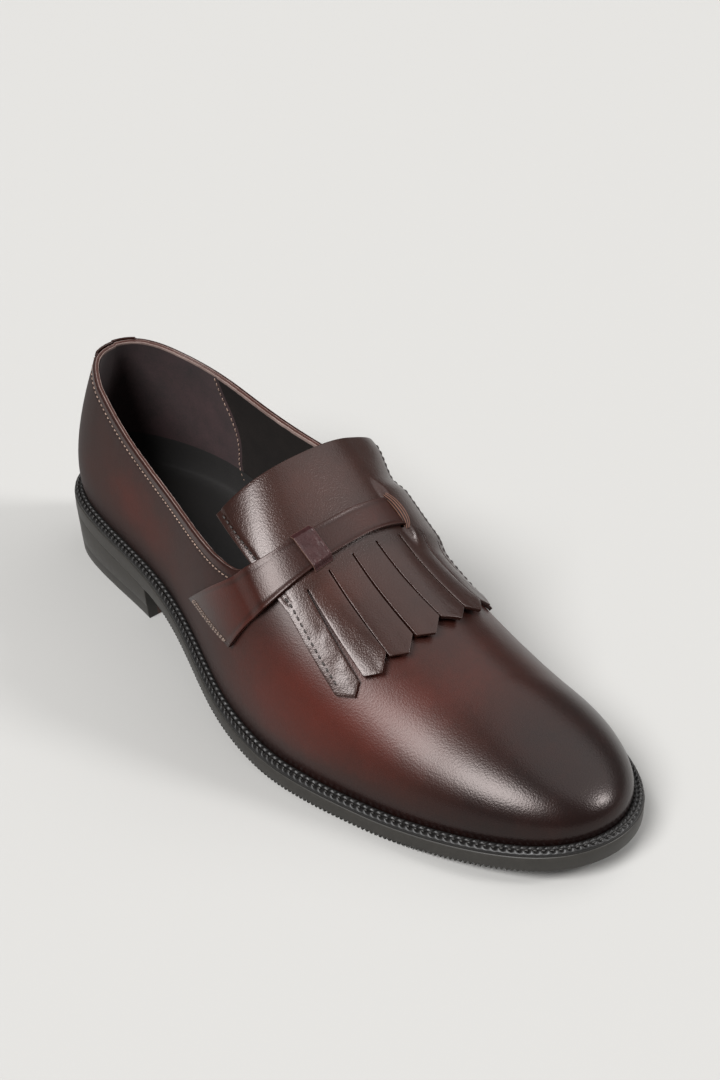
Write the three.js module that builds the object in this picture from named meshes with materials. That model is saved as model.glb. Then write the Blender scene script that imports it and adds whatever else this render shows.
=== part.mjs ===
// A leather loafer for the right foot, in millimetres, with a fringed tongue under a saddle strap.
// The shoe stands on its sole: +Z is up, +Y is the heel, -Y the toe, -X the outer side of the foot.
// Every upper piece is laid on one form, the last, by offsets from its surface.

import * as THREE from 'three';

// Driving dimensions of the sole
const soleLength = 300;        // back of the heel to the tip of the toe
const ballWidth = 104;         // across the ball of the foot
const soleThickness = 6.5;
const heelRise = 22.6;         // underside of the sole above the floor, at the back
const toeSpring = 8.4;         // underside of the sole above the floor, at the tip of the toe
const soleBevel = 0.7;         // small bevel on the sole's lower edge
const heelLength = 78;         // from the back of the heel to its front face
const heelTaper = 1.2;         // how far the heel draws in from top to floor
const weltWidth = 4;
const weltThickness = 1.5;
const weltCrown = 0.5;         // rise of the welt from its outer edge to the upper
const weltInset = 0.35;        // from the sole's edge to the welt's edge

// Driving dimensions of the upper
const instepHeight = 99.5;     // crest of the last above the floor, half way along
const backHeight = 91;         // collar above the floor, at the back
const upperWall = 2.2;
const insoleThickness = 3;
const heelStripWidth = 18;     // strip over the seam at the back
const heelStripStep = 0.8;
const fringedTongueHalf = 42.5;  // from the crest to the tongue's side edge, round the last
const tongueLeather = 1.5;
const tongueFlare = 3;         // how far the tongue's free inner corner stands off the last
const stripCount = 8;
const stripGap = 0.6;
const stripPoint = 3.6;        // length of the pointed end of a strip
const stripLift = 1.6;         // how far a free strip's end stands off the vamp
const slitLean = 2;            // how far the slits' tops stand to the inner side
const stripDrift = 1;          // how far the slits' ends stand to the inner side
const strapLeather = 1.4;
const keeperWidth = 7.6;
const keeperLeather = 1.3;
const keeperSlack = 0.5;       // between the keeper and the strap
const insoleSlack = 0.6;       // between the insole's edge and the upper
const slotLip = 0.4;           // air between the strap and the tongue's edge over it
const lipRun = 7;              // length over which the tongue climbs on to the strap
const lipMargin = 2;           // the tongue is up this far before the strap's edge
const clearance = 0.3;         // between pieces that touch

// Half widths of the sole, as shares of the ball width, at shares of the length from the heel
const outlineTable = [
  { at: 0.02, outer: 0.166, inner: 0.127 },
  { at: 0.05, outer: 0.238, inner: 0.199 },
  { at: 0.11, outer: 0.288, inner: 0.290 },
  { at: 0.18, outer: 0.311, inner: 0.337 },
  { at: 0.26, outer: 0.334, inner: 0.339 },
  { at: 0.34, outer: 0.379, inner: 0.339 },
  { at: 0.42, outer: 0.451, inner: 0.359 },
  { at: 0.50, outer: 0.524, inner: 0.393 },
  { at: 0.58, outer: 0.561, inner: 0.429 },
  { at: 0.66, outer: 0.553, inner: 0.451 },
  { at: 0.74, outer: 0.508, inner: 0.453 },
  { at: 0.82, outer: 0.443, inner: 0.426 },
  { at: 0.88, outer: 0.378, inner: 0.378 },
  { at: 0.93, outer: 0.305, inner: 0.307 },
  { at: 0.97, outer: 0.214, inner: 0.212 },
  { at: 0.99, outer: 0.129, inner: 0.125 },
];

// The underside rests on the floor between these shares of the length
const floorStart = 0.64;
const floorEnd = 0.76;
const toeSpringPower = 1.65;

// Underside from the back of the heel to floorStart, as shares of the heel rise
const shankTable = [
  { at: 0.00, rise: 1.000 },
  { at: 0.19, rise: 0.815 },
  { at: 0.36, rise: 0.700 },
  { at: 0.55, rise: 0.515 },
  { at: 0.73, rise: 0.265 },
  { at: 0.90, rise: 0.065 },
  { at: 0.96, rise: 0.015 },
  { at: 1.00, rise: 0.000 },
];

// Crest of the last, as shares of the instep height. Behind the throat it is above the collar.
const crestTable = [
  { at: 0.00, height: 1.180 },
  { at: 0.115, height: 1.230 },
  { at: 0.22, height: 1.264 },
  { at: 0.33, height: 1.222 },
  { at: 0.42, height: 1.144 },
  { at: 0.50, height: 1.000 },
  { at: 0.58, height: 0.825 },
  { at: 0.66, height: 0.665 },
  { at: 0.74, height: 0.536 },
  { at: 0.80, height: 0.458 },
  { at: 0.88, height: 0.384 },
];

// Cross sections of the last, one side each: bulge over the welt in shares of the ball width,
// height of the side in shares of the section's height, and fullness of the shoulder in shares
// of its half width.
const outerSideTable = [
  { at: 0.00, bulge: 0.105, side: 0.24, shoulder: 0.02 },
  { at: 0.12, bulge: 0.062, side: 0.31, shoulder: 0.43 },
  { at: 0.30, bulge: 0.076, side: 0.44, shoulder: 0.67 },
  { at: 0.45, bulge: 0.081, side: 0.54, shoulder: 0.76 },
  { at: 0.60, bulge: 0.077, side: 0.63, shoulder: 0.86 },
  { at: 0.75, bulge: 0.061, side: 0.57, shoulder: 0.62 },
  { at: 0.88, bulge: 0.055, side: 0.54, shoulder: 0.53 },
  { at: 1.00, bulge: 0.061, side: 0.56, shoulder: 0.58 },
];
const innerSideTable = [
  { at: 0.00, bulge: 0.105, side: 0.24, shoulder: 0.02 },
  { at: 0.12, bulge: 0.053, side: 0.37, shoulder: 0.54 },
  { at: 0.30, bulge: 0.056, side: 0.46, shoulder: 0.77 },
  { at: 0.45, bulge: 0.052, side: 0.49, shoulder: 0.92 },
  { at: 0.60, bulge: 0.033, side: 0.43, shoulder: 0.69 },
  { at: 0.75, bulge: 0.028, side: 0.40, shoulder: 0.50 },
  { at: 0.88, bulge: 0.049, side: 0.48, shoulder: 0.51 },
  { at: 1.00, bulge: 0.061, side: 0.56, shoulder: 0.58 },
];
const heelPivot = 0.115;       // behind this share of the length the sections fan round the heel
const toePivot = 0.80;         // in front of it they fan round the toe

// Collar edge, as shares of the back height
const collarTable = [
  { at: 0.00, outer: 1.000, inner: 1.000 },
  { at: 0.06, outer: 0.980, inner: 0.995 },
  { at: 0.14, outer: 0.890, inner: 0.925 },
  { at: 0.24, outer: 0.795, inner: 0.845 },
  { at: 0.34, outer: 0.755, inner: 0.800 },
  { at: 0.44, outer: 0.755, inner: 0.770 },
  { at: 0.52, outer: 0.770, inner: 0.770 },
  { at: 0.62, outer: 0.800, inner: 0.795 },
];
const throatStart = 0.52;      // here the collar edge starts to climb over the instep
const throatEnd = 0.603;       // here it meets the crest

// The fringed tongue is cut flat: across from the crest in shares of its half width, and along
// in shares of the sole's length. The strips' edges are shares of the half width at the slit line.
const tongueEdge = { middle: 0.503, side: 0.474 };
const slitLine = 0.613;
const tongueSides = [
  { at: 0.474, half: 1.000 },
  { at: 0.545, half: 0.950 },
  { at: 0.613, half: 0.930 },
];
const stripTable = [
  { top: 0.000, end: 0.000, outer: 0.716, inner: 0.716 },
  { top: 0.270, end: 0.305, outer: 0.717, inner: 0.713 },
  { top: 0.540, end: 0.592, outer: 0.715, inner: 0.703 },
  { top: 0.795, end: 0.860, outer: 0.708, inner: 0.685 },
  { top: 1.000, end: 1.130, outer: 0.699, inner: 0.677 },
];

// Edges of the saddle strap, from the crest down to its stitched base: across in shares of the
// tongue's half width, along in shares of the sole's length.
const strapTable = [
  { upperAcross: 0.00, upperAlong: 0.573, lowerAcross: 0.00, lowerAlong: 0.604 },
  { upperAcross: 0.20, upperAlong: 0.573, lowerAcross: 0.20, lowerAlong: 0.604 },
  { upperAcross: 0.40, upperAlong: 0.571, lowerAcross: 0.42, lowerAlong: 0.603 },
  { upperAcross: 0.62, upperAlong: 0.566, lowerAcross: 0.64, lowerAlong: 0.601 },
  { upperAcross: 0.80, upperAlong: 0.559, lowerAcross: 0.84, lowerAlong: 0.597 },
  { upperAcross: 0.99, upperAlong: 0.547, lowerAcross: 1.06, lowerAlong: 0.589 },
  { upperAcross: 1.20, upperAlong: 0.529, lowerAcross: 1.24, lowerAlong: 0.578 },
  { upperAcross: 1.45, upperAlong: 0.502, lowerAcross: 1.42, lowerAlong: 0.567 },
  { upperAcross: 1.78, upperAlong: 0.464, lowerAcross: 1.58, lowerAlong: 0.557 },
  { upperAcross: 2.10, upperAlong: 0.425, lowerAcross: 1.69, lowerAlong: 0.550 },
];
const strapOverTongue = 1.00;  // the strap lies on the tongue up to here, and on the upper from
const strapOnUpper = 1.20;     // here on, both in shares of the tongue's half width
const keeperAcross = 0.49;     // centre of the keeper, on the outer side
const keeperAlong = { start: 0.560, end: 0.6115 };
const keeperStep = 0.0015;      // length over which the keeper steps down beside the strap

// The slot is above this strip, counted from the middle, and as wide as this stretch of it
const slotStrip = 1;
const slotParts = [1 / 3, 2 / 3];
const slotAlong = { start: 0.563, end: 0.609 };

// Offsets of the stacked pieces from the last's surface
const tongueLow = clearance;
const tongueHigh = tongueLow + tongueLeather;
const strapLow = tongueHigh + clearance;
const strapHigh = strapLow + strapLeather;
const strapWingLow = clearance;
const strapWingHigh = strapWingLow + strapLeather;
const keeperLow = strapHigh + keeperSlack;
const keeperHigh = keeperLow + keeperLeather;

// A smooth curve through the rows of a table: a natural cubic spline
function smoothCurve(xs, ys) {
  const n = xs.length;
  const slopeChange = new Array(n).fill(0);
  const upper = new Array(n).fill(0);
  for (let i = 1; i < n - 1; i += 1) {
    const left = xs[i] - xs[i - 1];
    const right = xs[i + 1] - xs[i];
    const pivot = 2 * (left + right) - left * upper[i - 1];
    const bend = 6 * ((ys[i + 1] - ys[i]) / right - (ys[i] - ys[i - 1]) / left);
    upper[i] = right / pivot;
    slopeChange[i] = (bend - left * slopeChange[i - 1]) / pivot;
  }
  for (let i = n - 2; i > 0; i -= 1) slopeChange[i] -= upper[i] * slopeChange[i + 1];
  return (x) => {
    let i = 0;
    while (i < n - 2 && x > xs[i + 1]) i += 1;
    const width = xs[i + 1] - xs[i];
    const a = THREE.MathUtils.clamp((xs[i + 1] - x) / width, 0, 1);
    const b = 1 - a;
    const bend = (a ** 3 - a) * slopeChange[i] + (b ** 3 - b) * slopeChange[i + 1];
    return a * ys[i] + b * ys[i + 1] + bend * width * width / 6;
  };
}

function tableCurve(table, column, scale = 1) {
  return smoothCurve(table.map((row) => row.at), table.map((row) => row[column] * scale));
}

const lerp = THREE.MathUtils.lerp;
const smoothstep = THREE.MathUtils.smoothstep;

// The sole's outline. The turn goes from 0 at the back of the heel to pi at the tip of the toe.
function outlineSide(column) {
  const turns = outlineTable.map((row) => Math.acos(1 - 2 * row.at));
  const fullness = outlineTable.map((row, i) => row[column] * ballWidth / Math.sin(turns[i]));
  const first = (fullness[0] + fullness[1]) / 2;
  const last = (fullness.at(-1) + fullness.at(-2)) / 2;
  return smoothCurve([0, ...turns, Math.PI], [first, ...fullness, last]);
}
const outlineCurves = { outer: outlineSide('outer'), inner: outlineSide('inner') };
const sideSign = { outer: -1, inner: 1 };
const sides = ['outer', 'inner'];

function outlinePoint(side, turn) {
  const half = Math.sin(turn) * outlineCurves[side](turn);
  return new THREE.Vector2(sideSign[side] * half, soleLength / 2 * Math.cos(turn));
}

// The outline drawn in by a distance, square to its edge
function insetPoint(side, turn, inset) {
  const step = 0.001;
  const before = outlinePoint(side, turn - step);
  const along = outlinePoint(side, turn + step).sub(before).normalize();
  const inward = new THREE.Vector2(-along.y, along.x).multiplyScalar(-sideSign[side]);
  if (turn <= 0) inward.set(0, -1);
  if (turn >= Math.PI) inward.set(0, 1);
  return outlinePoint(side, turn).addScaledVector(inward, inset);
}

function shareAt(y) {
  return (soleLength / 2 - y) / soleLength;
}

const shankCurve = tableCurve(shankTable, 'rise', heelRise);

// Underside of the sole above the floor
function soleUnder(share) {
  if (share < floorStart) return Math.max(0, shankCurve(share / floorStart));
  if (share <= floorEnd) return 0;
  return toeSpring * ((share - floorEnd) / (1 - floorEnd)) ** toeSpringPower;
}

function soleTop(share) {
  return soleUnder(share) + soleThickness;
}

const crestCurve = tableCurve(crestTable, 'height', instepHeight);
const sideCurves = {
  outer: {
    bulge: tableCurve(outerSideTable, 'bulge', ballWidth),
    side: tableCurve(outerSideTable, 'side'),
    shoulder: tableCurve(outerSideTable, 'shoulder'),
  },
  inner: {
    bulge: tableCurve(innerSideTable, 'bulge', ballWidth),
    side: tableCurve(innerSideTable, 'side'),
    shoulder: tableCurve(innerSideTable, 'shoulder'),
  },
};
const collarCurves = {
  outer: tableCurve(collarTable, 'outer', backHeight),
  inner: tableCurve(collarTable, 'inner', backHeight),
};
const upperInset = weltInset + weltWidth + clearance;

function crestSlope(share) {
  const step = 0.002;
  return (crestCurve(share + step) - crestCurve(share - step)) / (2 * step * soleLength);
}

// The crest runs along the middle of the outline
function crestPoint(share) {
  const turn = Math.acos(1 - 2 * share);
  const x = (outlinePoint('outer', turn).x + outlinePoint('inner', turn).x) / 2;
  return new THREE.Vector3(x, soleLength * (0.5 - share), crestCurve(share));
}

// Half a cross section of the last: a Bezier curve from the welt to the crest
function halfSection(side, turn) {
  const foot = insetPoint(side, turn, upperInset);
  const share = shareAt(foot.y);
  const crestShare = THREE.MathUtils.clamp(share, heelPivot, toePivot);
  const start = new THREE.Vector3(foot.x, foot.y, soleTop(share) + clearance);
  const end = crestPoint(crestShare);
  const out = new THREE.Vector3(start.x - end.x, start.y - end.y, 0);
  const reach = out.length();
  out.divideScalar(reach);
  const curves = sideCurves[side];
  const fans = share < heelPivot || share > toePivot;
  const slope = fans ? -out.y * crestSlope(crestShare) : 0;
  const low = start.clone().addScaledVector(out, curves.bulge(share));
  low.z += curves.side(share) * (end.z - start.z);
  const high = end.clone().addScaledVector(out, curves.shoulder(share) * reach);
  high.z += slope * curves.shoulder(share) * reach;
  return { curve: new THREE.CubicBezierCurve3(start, low, high, end), share, out };
}

// The t at which a section reaches a height above the floor
function levelAt(curve, height) {
  let low = 0;
  let high = 1;
  for (let i = 0; i < 40; i += 1) {
    const middle = (low + high) / 2;
    if (curve.getPoint(middle).z < height) low = middle;
    else high = middle;
  }
  return (low + high) / 2;
}

// The turn whose section stands at a share of the length
function turnAt(side, share) {
  let low = 0;
  let high = Math.PI;
  for (let i = 0; i < 40; i += 1) {
    const middle = (low + high) / 2;
    if (shareAt(insetPoint(side, middle, upperInset).y) < share) low = middle;
    else high = middle;
  }
  return (low + high) / 2;
}

// The way out of the last's surface at a height t (0 at the welt, 1 at the crest) of a section
function outward(side, turn, t) {
  if (t > 0.999) {
    const share = THREE.MathUtils.clamp(halfSection(side, turn).share, heelPivot, toePivot);
    return new THREE.Vector3(0, crestSlope(share), 1).normalize();
  }
  const step = 0.002;
  if (t < 0.001) return halfSection(side, turn).out.clone();
  const turnLow = Math.max(turn - step, 0);
  const turnHigh = Math.min(turn + step, Math.PI);
  const level = Math.min(t, 0.99);
  const around = halfSection(side, turnHigh).curve.getPoint(level)
    .sub(halfSection(side, turnLow).curve.getPoint(level));
  const curve = halfSection(side, turn).curve;
  const up = curve.getPoint(level + step).sub(curve.getPoint(level - step));
  return around.cross(up).normalize().multiplyScalar(-sideSign[side]);
}

function lastPoint(side, turn, t, offset) {
  const point = halfSection(side, turn).curve.getPoint(t);
  return point.addScaledVector(outward(side, turn, t), offset);
}

// A point of the last by its distance round the section from the crest, negative on the outer
// side, and its share of the length
function makePatternPlacer() {
  const steps = 60;
  const cache = new Map();
  const sectionFor = (side, share) => {
    const key = `${side} ${share.toFixed(6)}`;
    if (!cache.has(key)) {
      const turn = turnAt(side, share);
      const curve = halfSection(side, turn).curve;
      const lengths = [0];
      let previous = curve.getPoint(1);
      for (let i = 1; i <= steps; i += 1) {
        const next = curve.getPoint(1 - i / steps);
        lengths.push(lengths.at(-1) + next.distanceTo(previous));
        previous = next;
      }
      cache.set(key, { turn, lengths });
    }
    return cache.get(key);
  };
  return (across, share, offset) => {
    const side = across < 0 ? 'outer' : 'inner';
    const { turn, lengths } = sectionFor(side, share);
    const reach = Math.min(Math.abs(across), lengths.at(-1));
    let i = 0;
    while (i < steps - 1 && lengths[i + 1] < reach) i += 1;
    const part = (reach - lengths[i]) / (lengths[i + 1] - lengths[i]);
    const t = 1 - (i + part) / steps;
    return lastPoint(side, turn, t, offset);
  };
}
const onLast = makePatternPlacer();

function meshFrom(name, points, triangles, material) {
  const geometry = new THREE.BufferGeometry();
  geometry.setAttribute('position', new THREE.Float32BufferAttribute(points.flat(), 3));
  geometry.setIndex(triangles.flat());
  geometry.computeVertexNormals();
  const mesh = new THREE.Mesh(geometry, material);
  mesh.name = name;
  return mesh;
}

// A closed solid between two sheets. The quads are wound the same way, seen from outside, and
// an edge that only one quad has gets a side wall.
function sheetSolid(name, inside, outside, quads, material) {
  const count = inside.length;
  const points = [...inside, ...outside].map((p) => p.toArray());
  const triangles = [];
  const edges = new Map();
  const corners = quads.map((quad) => quad.filter((v, i) => v !== quad[(i + 1) % quad.length]));
  for (const face of corners) {
    for (let i = 2; i < face.length; i += 1) {
      triangles.push([face[0] + count, face[i - 1] + count, face[i] + count]);
      triangles.push([face[0], face[i], face[i - 1]]);
    }
    face.forEach((v, i) => {
      const w = face[(i + 1) % face.length];
      const back = `${w} ${v}`;
      if (edges.has(back)) edges.delete(back);
      else edges.set(`${v} ${w}`, [v, w]);
    });
  }
  for (const [v, w] of edges.values()) {
    triangles.push([v, w, w + count]);
    triangles.push([v, w + count, v + count]);
  }
  return meshFrom(name, points, triangles, material);
}

// A closed solid of rings, lowest first. Each ring goes round the sole by way of the outer side,
// and the first and last are capped by strips from side to side.
function ringSolid(name, rings, material) {
  const count = rings[0].length;
  const points = rings.flat().map((p) => p.toArray());
  const triangles = [];
  for (let k = 0; k + 1 < rings.length; k += 1) {
    for (let i = 0; i < count; i += 1) {
      const j = (i + 1) % count;
      const [a, b, c, d] = [k * count + i, k * count + j, (k + 1) * count + j, (k + 1) * count + i];
      triangles.push([a, b, c], [a, c, d]);
    }
  }
  const top = (rings.length - 1) * count;
  for (let i = 0; i + 1 < count - i - 1; i += 1) {
    const [a, b, c, d] = [i, i + 1, count - 2 - i, count - 1 - i];
    triangles.push([a, c, b], [top + a, top + b, top + c]);
    if (a !== d) triangles.push([a, d, c], [top + a, top + c, top + d]);
  }
  return meshFrom(name, points, triangles, material);
}

function material(color, roughness) {
  return new THREE.MeshStandardMaterial({ color, roughness, metalness: 0 });
}
const burgundyLeather = material(0x4a2c2a, 0.35);
const darkLeather = material(0x3a302e, 0.35);
const soleRubber = material(0x353434, 0.55);
const weltRubber = material(0x1b1a1a, 0.7);
const sockLeather = material(0x1c1a1a, 0.6);

// Turns round the whole outline: out along the outer side and back along the inner side
function roundTheSole(steps) {
  const around = [];
  for (let i = 0; i <= steps; i += 1) around.push(['outer', Math.PI * (i + 0.5) / (steps + 1)]);
  for (let i = steps; i >= 0; i -= 1) around.push(['inner', Math.PI * (i + 0.5) / (steps + 1)]);
  return around;
}

function soleRing(around, inset, height) {
  return around.map(([side, turn]) => {
    const p = insetPoint(side, turn, inset);
    return new THREE.Vector3(p.x, p.y, height(shareAt(p.y)));
  });
}

function makeOutsole() {
  const around = roundTheSole(48);
  return ringSolid('outsole', [
    soleRing(around, soleBevel, soleUnder),
    soleRing(around, 0, (share) => soleUnder(share) + soleBevel),
    soleRing(around, 0, soleTop),
  ], soleRubber);
}

function makeWelt() {
  const around = roundTheSole(48);
  const low = (share) => soleTop(share) + clearance;
  const rise = weltThickness + weltCrown;
  const rings = [
    soleRing(around, weltInset + weltWidth, low),
    soleRing(around, weltInset, low),
    soleRing(around, weltInset, (share) => low(share) + weltThickness),
    around.map(([side, turn]) => {
      const { share, curve } = halfSection(side, turn);
      return lastPoint(side, turn, levelAt(curve, low(share) + rise), clearance);
    }),
  ];
  const count = around.length;
  const triangles = [];
  rings.forEach((ring, k) => {
    const next = (k + 1) % rings.length;
    for (let i = 0; i < count; i += 1) {
      const j = (i + 1) % count;
      const [a, b, c, d] = [k * count + i, k * count + j, next * count + j, next * count + i];
      triangles.push([a, b, c], [a, c, d]);
    }
  });
  return meshFrom('welt', rings.flat().map((p) => p.toArray()), triangles, weltRubber);
}

// The heel follows the sole's underside above and the floor below
function makeHeel() {
  const steps = 14;
  const front = soleLength / 2 - heelLength;
  const frontTurn = Math.acos(1 - 2 * heelLength / soleLength);
  const turns = Array.from({ length: steps + 1 }, (_, i) => frontTurn * (i + 0.5) / (steps + 1));
  const outerSide = turns.map((turn) => ['outer', turn]);
  const innerSide = turns.map((turn) => ['inner', turn]).reverse();
  const ring = (inset, height) => {
    const corner = (side) => {
      const p = insetPoint(side, frontTurn, inset);
      return new THREE.Vector3(p.x, front, height(shareAt(front)));
    };
    return [...soleRing(outerSide, inset, height), corner('outer'), corner('inner'),
      ...soleRing(innerSide, inset, height)];
  };
  return ringSolid('heel', [
    ring(heelTaper + soleBevel, () => 0),
    ring(heelTaper, () => soleBevel),
    ring(heelTaper / 3, (share) => soleUnder(share) / 2),
    ring(soleBevel, (share) => soleUnder(share) - clearance),
  ], soleRubber);
}

function makeInsole() {
  const around = roundTheSole(36);
  const inset = upperInset + upperWall + insoleSlack;
  return ringSolid('insole', [
    soleRing(around, inset, (share) => soleTop(share) + clearance),
    soleRing(around, inset, (share) => soleTop(share) + clearance + insoleThickness),
  ], sockLeather);
}

// Height of the collar edge. Past throatStart it climbs to the crest of the last.
function collarHeight(side, share) {
  const climb = THREE.MathUtils.clamp((share - throatStart) / (throatEnd - throatStart), 0, 1) ** 2;
  return lerp(collarCurves[side](share), crestCurve(share), climb);
}

// The t at which a section reaches the collar edge
function collarLevel(side, turn) {
  const { curve, share } = halfSection(side, turn);
  return share >= throatEnd ? 1 : levelAt(curve, collarHeight(side, share));
}

// The turn at which the strip over the back seam ends
function heelStripTurn(side) {
  let turn = 0;
  while (Math.abs(insetPoint(side, turn, upperInset).x) < heelStripWidth / 2) turn += 0.002;
  return turn;
}

// Stations of one side of the upper, from the back seam to the tip of the toe
function upperStations(side) {
  const heelSteps = 5;
  const collarSteps = 14;
  const vampSteps = 7;
  const toeSteps = 8;
  const stripFall = 0.02;        // turn over which the strip's edge steps down
  const collarCrowding = 1.7;    // above 1 the stations are closer near the throat
  const stripEdge = heelStripTurn(side);
  const heelEnd = turnAt(side, heelPivot);
  const toeStart = turnAt(side, toePivot);
  const stations = [
    { turn: 0, strip: true },
    { turn: stripEdge / 2, strip: true },
    { turn: stripEdge, strip: true },
  ];
  for (let i = 0; i < heelSteps; i += 1) {
    stations.push({ turn: lerp(stripEdge + stripFall, heelEnd, i / heelSteps) });
  }
  for (let i = 0; i < collarSteps; i += 1) {
    const share = lerp(heelPivot, throatEnd, 1 - (1 - i / collarSteps) ** collarCrowding);
    stations.push({ turn: turnAt(side, share) });
  }
  for (let i = 0; i < vampSteps; i += 1) {
    stations.push({ turn: turnAt(side, lerp(throatEnd, toePivot, i / vampSteps)), closed: true });
  }
  for (let i = 0; i <= toeSteps; i += 1) {
    stations.push({ turn: lerp(toeStart, Math.PI, i / toeSteps), pole: true });
  }
  return stations;
}

// One hollow wall, open at the collar and throat and underneath
function makeUpper() {
  const rows = 11;
  const inside = [];
  const outside = [];
  const sideColumns = [];
  const crestIndex = new Map();
  const addPoint = (side, turn, t, step) => {
    outside.push(lastPoint(side, turn, t, step));
    inside.push(lastPoint(side, turn, t, -upperWall));
    return outside.length - 1;
  };
  for (const side of sides) {
    const stations = upperStations(side);
    sideColumns.push(stations.map((station, i) => {
      const first = side === 'inner' && i === 0;
      const last = side === 'inner' && i === stations.length - 1;
      if (first || last) return sideColumns[0][i];
      const level = station.closed || station.pole ? 1 : collarLevel(side, station.turn);
      const column = [];
      for (let row = 0; row <= rows; row += 1) {
        const crest = row === rows && (station.closed ? `crest ${i}` : station.pole && 'pole');
        const step = station.strip && row > 1 ? heelStripStep : 0;
        if (crest && crestIndex.has(crest)) column.push(crestIndex.get(crest));
        else {
          column.push(addPoint(side, station.turn, level * row / rows, step));
          if (crest) crestIndex.set(crest, column.at(-1));
        }
      }
      return column;
    }));
  }
  const quads = [];
  sideColumns.forEach((columns, sideNumber) => {
    for (let i = 0; i + 1 < columns.length; i += 1) {
      for (let row = 0; row < rows; row += 1) {
        const [near, far] = [columns[i], columns[i + 1]];
        const quad = [near[row], far[row], far[row + 1], near[row + 1]];
        quads.push(sideNumber === 0 ? quad : quad.reverse());
      }
    }
  });
  return sheetSolid('upper', inside, outside, quads, burgundyLeather);
}

// The saddle strap's edges by place, in shares of the tongue's half width from the crest
const strapPlaces = strapTable.map((row) => (row.upperAcross + row.lowerAcross) / 2);
const strapEdge = (column) => smoothCurve(strapPlaces, strapTable.map((row) => row[column]));
const strapEdges = {
  upperAcross: strapEdge('upperAcross'),
  upperAlong: strapEdge('upperAlong'),
  lowerAcross: strapEdge('lowerAcross'),
  lowerAlong: strapEdge('lowerAlong'),
};

// The tongue's half width at a share of the length, and its slits at their tops and ends
const tongueHalfAt = tableCurve(tongueSides, 'half', fringedTongueHalf);
const stripTops = stripTable.map((row) => row.top * tongueHalfAt(slitLine));
const stripEnds = stripTable.map((row) => row.end * tongueHalfAt(slitLine));
const stripShoulders = {
  outer: stripTable.map((row) => row.outer * soleLength),
  inner: stripTable.map((row) => row.inner * soleLength),
};
const stripsPerSide = stripCount / 2;

// How far across a strip's edge stands at the slit line or at its end
function stripEdge(list, sign, slit, gap) {
  if (slit === stripsPerSide) return sign * list[slit];
  return sign * (list[slit] + gap) + (list === stripTops ? slitLean : stripDrift);
}

// How far across the tongue's slot starts and ends, at a share of the length
function slotEdge(part, along) {
  const start = stripEdge(stripTops, 1, slotStrip, stripGap / 2);
  const end = stripEdge(stripTops, 1, slotStrip + 1, -stripGap / 2);
  return lerp(start, end, slotParts[part]) * tongueHalfAt(along) / tongueHalfAt(slitLine);
}

// How far the tongue stands off the last: over the strap beyond the slot, and at its free corner
function tongueRise(across, along) {
  const past = smoothstep(across, slotEdge(0, along), slotEdge(1, along) - 0.01);
  const place = Math.max(across, 0) / fringedTongueHalf;
  const above = (strapEdges.upperAlong(place) - along) * soleLength;
  const below = (along - strapEdges.lowerAlong(place)) * soleLength;
  const up = 1 - smoothstep(Math.max(above, below), lipMargin, lipMargin + lipRun);
  const free = smoothstep(across / tongueHalfAt(along), 0.5, 1) * smoothstep(above, lipRun, 3 * lipRun);
  return past * up * (strapWingHigh + slotLip - tongueLow) + free * tongueFlare;
}

// The tongue's columns, from side to side: four across each strip, and a gap between strips
function tongueColumns() {
  const partWay = [0, slotParts[0], 1 / 2, slotParts[1], 1];
  const columns = [];
  for (let strip = 0; strip < stripCount; strip += 1) {
    const sign = strip < stripsPerSide ? -1 : 1;
    const near = sign < 0 ? stripsPerSide - 1 - strip : strip - stripsPerSide;
    const slits = sign < 0 ? [near + 1, near] : [near, near + 1];
    const gaps = slits.map((slit) => (slit === near ? stripGap / 2 : -stripGap / 2));
    const edges = (list) => slits.map((slit, i) => stripEdge(list, sign, slit, gaps[i]));
    const tops = edges(stripTops);
    const ends = edges(stripEnds);
    const shoulders = sign < 0 ? stripShoulders.outer : stripShoulders.inner;
    for (const part of partWay) {
      columns.push({
        strip,
        part,
        free: near < stripsPerSide - 1,
        slot: near === slotStrip && sign > 0 && part >= slotParts[0] && part < slotParts[1],
        top: lerp(tops[0], tops[1], part),
        end: lerp(ends[0], ends[1], part),
        shoulder: lerp(shoulders[slits[0]], shoulders[slits[1]], part),
      });
    }
  }
  return columns;
}

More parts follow.
